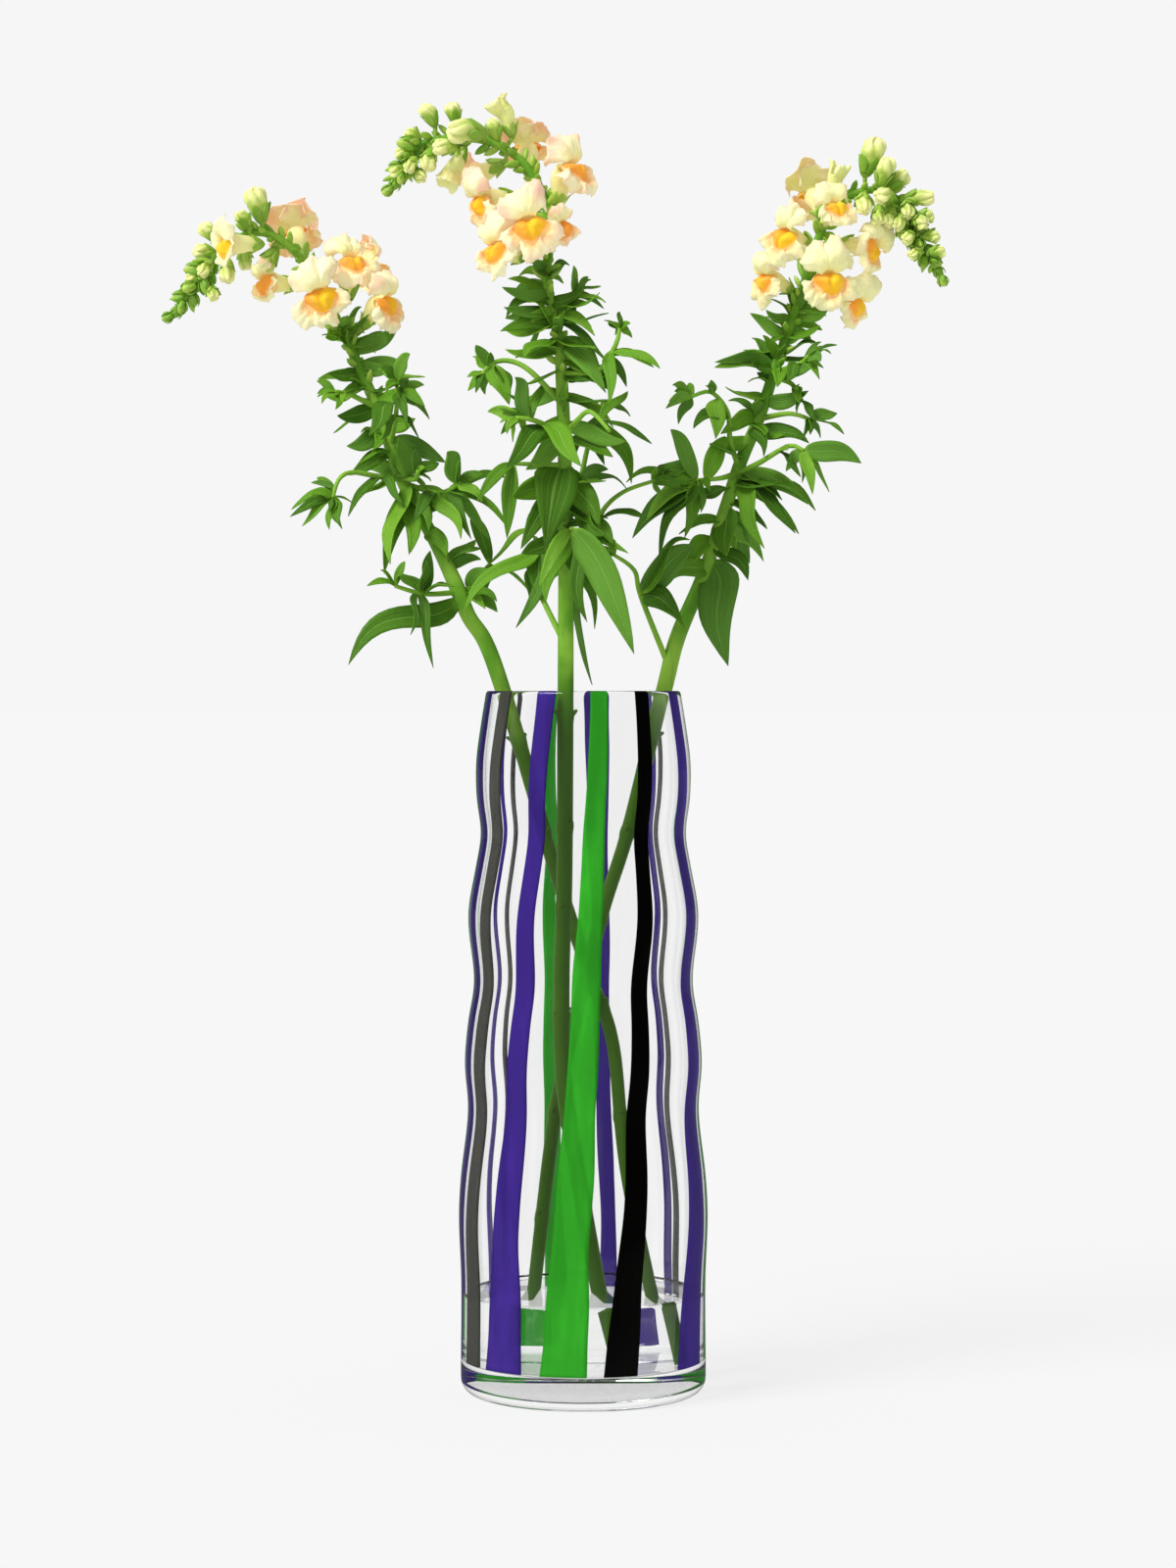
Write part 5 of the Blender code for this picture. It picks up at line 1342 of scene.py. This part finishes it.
def addBracts(shape, line, looks):
    fine, _ = smoothLine(line, [1.0] * len(line), bracts["apart"] * mm)
    for number in range(2, len(fine) - 1):
        ahead = (fine[number - 1] - fine[number]).normalized()
        big = min(1, 0.6 + number / 12)
        for half in (0, 1):
            turn = bracts["turn"] * number + 180 * half + looks.uniform(-25, 25)
            aside = turnedAside(ahead, radians(turn))
            addBract(shape, fine[number] + aside * 1.2 * mm, aside * looks.uniform(0.7, 1.6) + ahead * 0.8,
                     looks.uniform(*bracts["reach"]) * big, looks.uniform(*bracts["width"]) * big,
                     looks.uniform(0.2, 0.8))


def makeFlowers(side, axis, finishes):
    raceme = axis[racemeStart[side] - 1:]
    greens = newShape()
    looks = random.Random(5 + len(side))

    def addGreenedBud(shape, plan, fullWidth, tone):
        across, high, depth, forward, length, width = plan
        base, forward = seen(across, high, depth), towards(forward)
        addBud(shape, base, forward, length, width, looks, tone)
        addSepals(greens, nearest(base, [raceme]), base, forward, width / fullWidth, looks)

    for number, plan in enumerate(bloomPlan[side], 1):
        across, high, depth, forward, lower, bend, size, opened = plan
        forward = towards(forward)
        shape = newShape()
        base = addBloom(shape, seen(across, high, depth), forward, towards(lower), bend, size, opened,
                        looks, (*bloomLooks[side][number - 1], petals["lime"][side]))
        addSepals(greens, nearest(base, [raceme]), base, forward, size, looks)
        finishPiece(f"petals_{side}_{number}", shape, [finishes["petal"]],
                    [f"bloom_{side}_{number}"], petals["thickness"])
    for number, plan in enumerate(budPlan[side], 1):
        shape = newShape()
        addGreenedBud(shape, plan, 10, 0.0)
        finishPiece(f"paleBud_{side}_{number}", shape, [finishes["bud"]], [f"bud_{side}_{number}"])
    shape = newShape()
    for plan in youngBuds[side]:
        addGreenedBud(shape, plan, 9, buds["young"])
    finishPiece("youngBuds_" + side, shape, [finishes["bud"]], ["stem_" + side])
    addTipBuds(greens, side, axis[::-1], looks)
    addBracts(greens, raceme[::-1], looks)
    finishPiece("sepals_" + side, greens, [finishes["sepal"]], ["stem_" + side],
                sepals["thickness"])


room = {
    "backdrop": 0.922,      # pale grey that the camera sees
    "skyLight": 0.56,       # light that the room gives
    "mirrored": 0.08,       # what glossy surfaces see of the room
    "frontShade": 0.75,     # how dark the room's front side is in the glass
    "floorInGloss": 0.86,   # and how much darker the floor
    "sunLight": 2.9,
    "sunTurn": (44, 0, -50),
    "sunSoftness": 26,
    "floorReach": 60,
    "floor": 0.139,         # the part of the floor's grey that can be shaded
    "floorGlow": 0.760,     # and the part that can't, so shadows stay faint
}
view = {"distance": 1.964, "height": 0.36, "lens": 87.75, "shiftX": 0.003, "shiftY": -0.0594}


def mirroredOnly(rays):
    # 1 where a mirroring surface looks, and 0 where glass lets through
    return (Grade(rays["Is Glossy Ray"]) - Grade(rays["Is Transmission Ray"])).worked("MAXIMUM", 0.0)


def darkFront(rays, front):
    # the studio is dark on the front side, so the glass mirrors little of it
    return (Grade(rays["Glossy Depth"]).worked("MINIMUM", 1.0) * front * room["frontShade"]).rest()


def makeFloor():
    reach = room["floorReach"]
    mesh = bpy.data.meshes.new("floor")
    mesh.from_pydata([(-reach, -reach, 0), (reach, -reach, 0), (reach, reach, 0), (-reach, reach, 0)],
                     [], [(0, 1, 2, 3)])
    floor = newObject("floor", mesh)
    material, tree, shader = newMaterial("pale floor", {
        "Roughness": 0.9, "Specular IOR Level": 0.0, "Emission Color": (1, 1, 1, 1)})
    rays = tree.nodes.new("ShaderNodeLightPath").outputs
    grey = (mirroredOnly(rays) * room["floorInGloss"]).rest()
    grey = grey * darkFront(rays, ease(placeOf(tree, "Object", "Y"), -0.1, -0.4))
    feed(shader.inputs["Base Color"], grey * room["floor"])
    feed(shader.inputs["Emission Strength"], grey * room["floorGlow"])
    mesh.materials.append(material)


def makeWorld():
    world = bpy.data.worlds.new("studio")
    bpy.context.scene.world = world
    world.use_nodes = True
    tree = world.node_tree
    background = tree.nodes["Background"]
    rays = tree.nodes.new("ShaderNodeLightPath").outputs
    level = mixed(Grade(rays["Is Diffuse Ray"]), room["backdrop"], room["skyLight"], "FLOAT")
    level = mixed(mirroredOnly(rays), level, room["mirrored"], "FLOAT")
    level = level * darkFront(rays, ease(placeOf(tree, "Generated", "Y"), 0.1, -0.1))
    feed(background.inputs["Strength"], level)
    background.inputs["Color"].default_value = (1, 1, 1, 1)


def makeLightAndCamera():
    sun = bpy.data.lights.new("soft key", "SUN")
    sun.energy = room["sunLight"]
    sun.angle = radians(room["sunSoftness"])
    newObject("soft key", sun).rotation_euler = tuple(radians(turn) for turn in room["sunTurn"])

    camera = bpy.data.cameras.new("camera")
    camera.lens = view["lens"]
    camera.sensor_width = 36
    camera.shift_x = view["shiftX"]
    camera.shift_y = view["shiftY"]
    camera.clip_end = 200
    eye = newObject("camera", camera)
    eye.location = (0, -view["distance"], view["height"])
    eye.rotation_euler = (radians(90), 0, 0)
    bpy.context.scene.camera = eye
    bpy.context.scene.view_settings.view_transform = "Standard"


makeFloor()
makeWorld()
makeLightAndCamera()
print("room, light and camera ready")
makeVase()
makeStripes()
makeWater()
print("vase, stripes and water ready")
finishes = {
    "stem": stemMaterial(),
    "leaf": [leafMaterial("leaf upper side", False), leafMaterial("leaf underside", True)],
    "petal": petalMaterial(),
    "bud": budMaterial(),
    "sepal": sepalMaterial(),
}
for side in stemAxes:
    axis, radii = stemAxis(side)
    shoots = shootLines(side, axis)
    makeStem(side, axis, radii, finishes["stem"])
    makeShoots(side, shoots, finishes["stem"])
    makeLeaves(side, axis, shoots, finishes["leaf"])
    makeFlowers(side, axis, finishes)
    print(side, "stem ready")
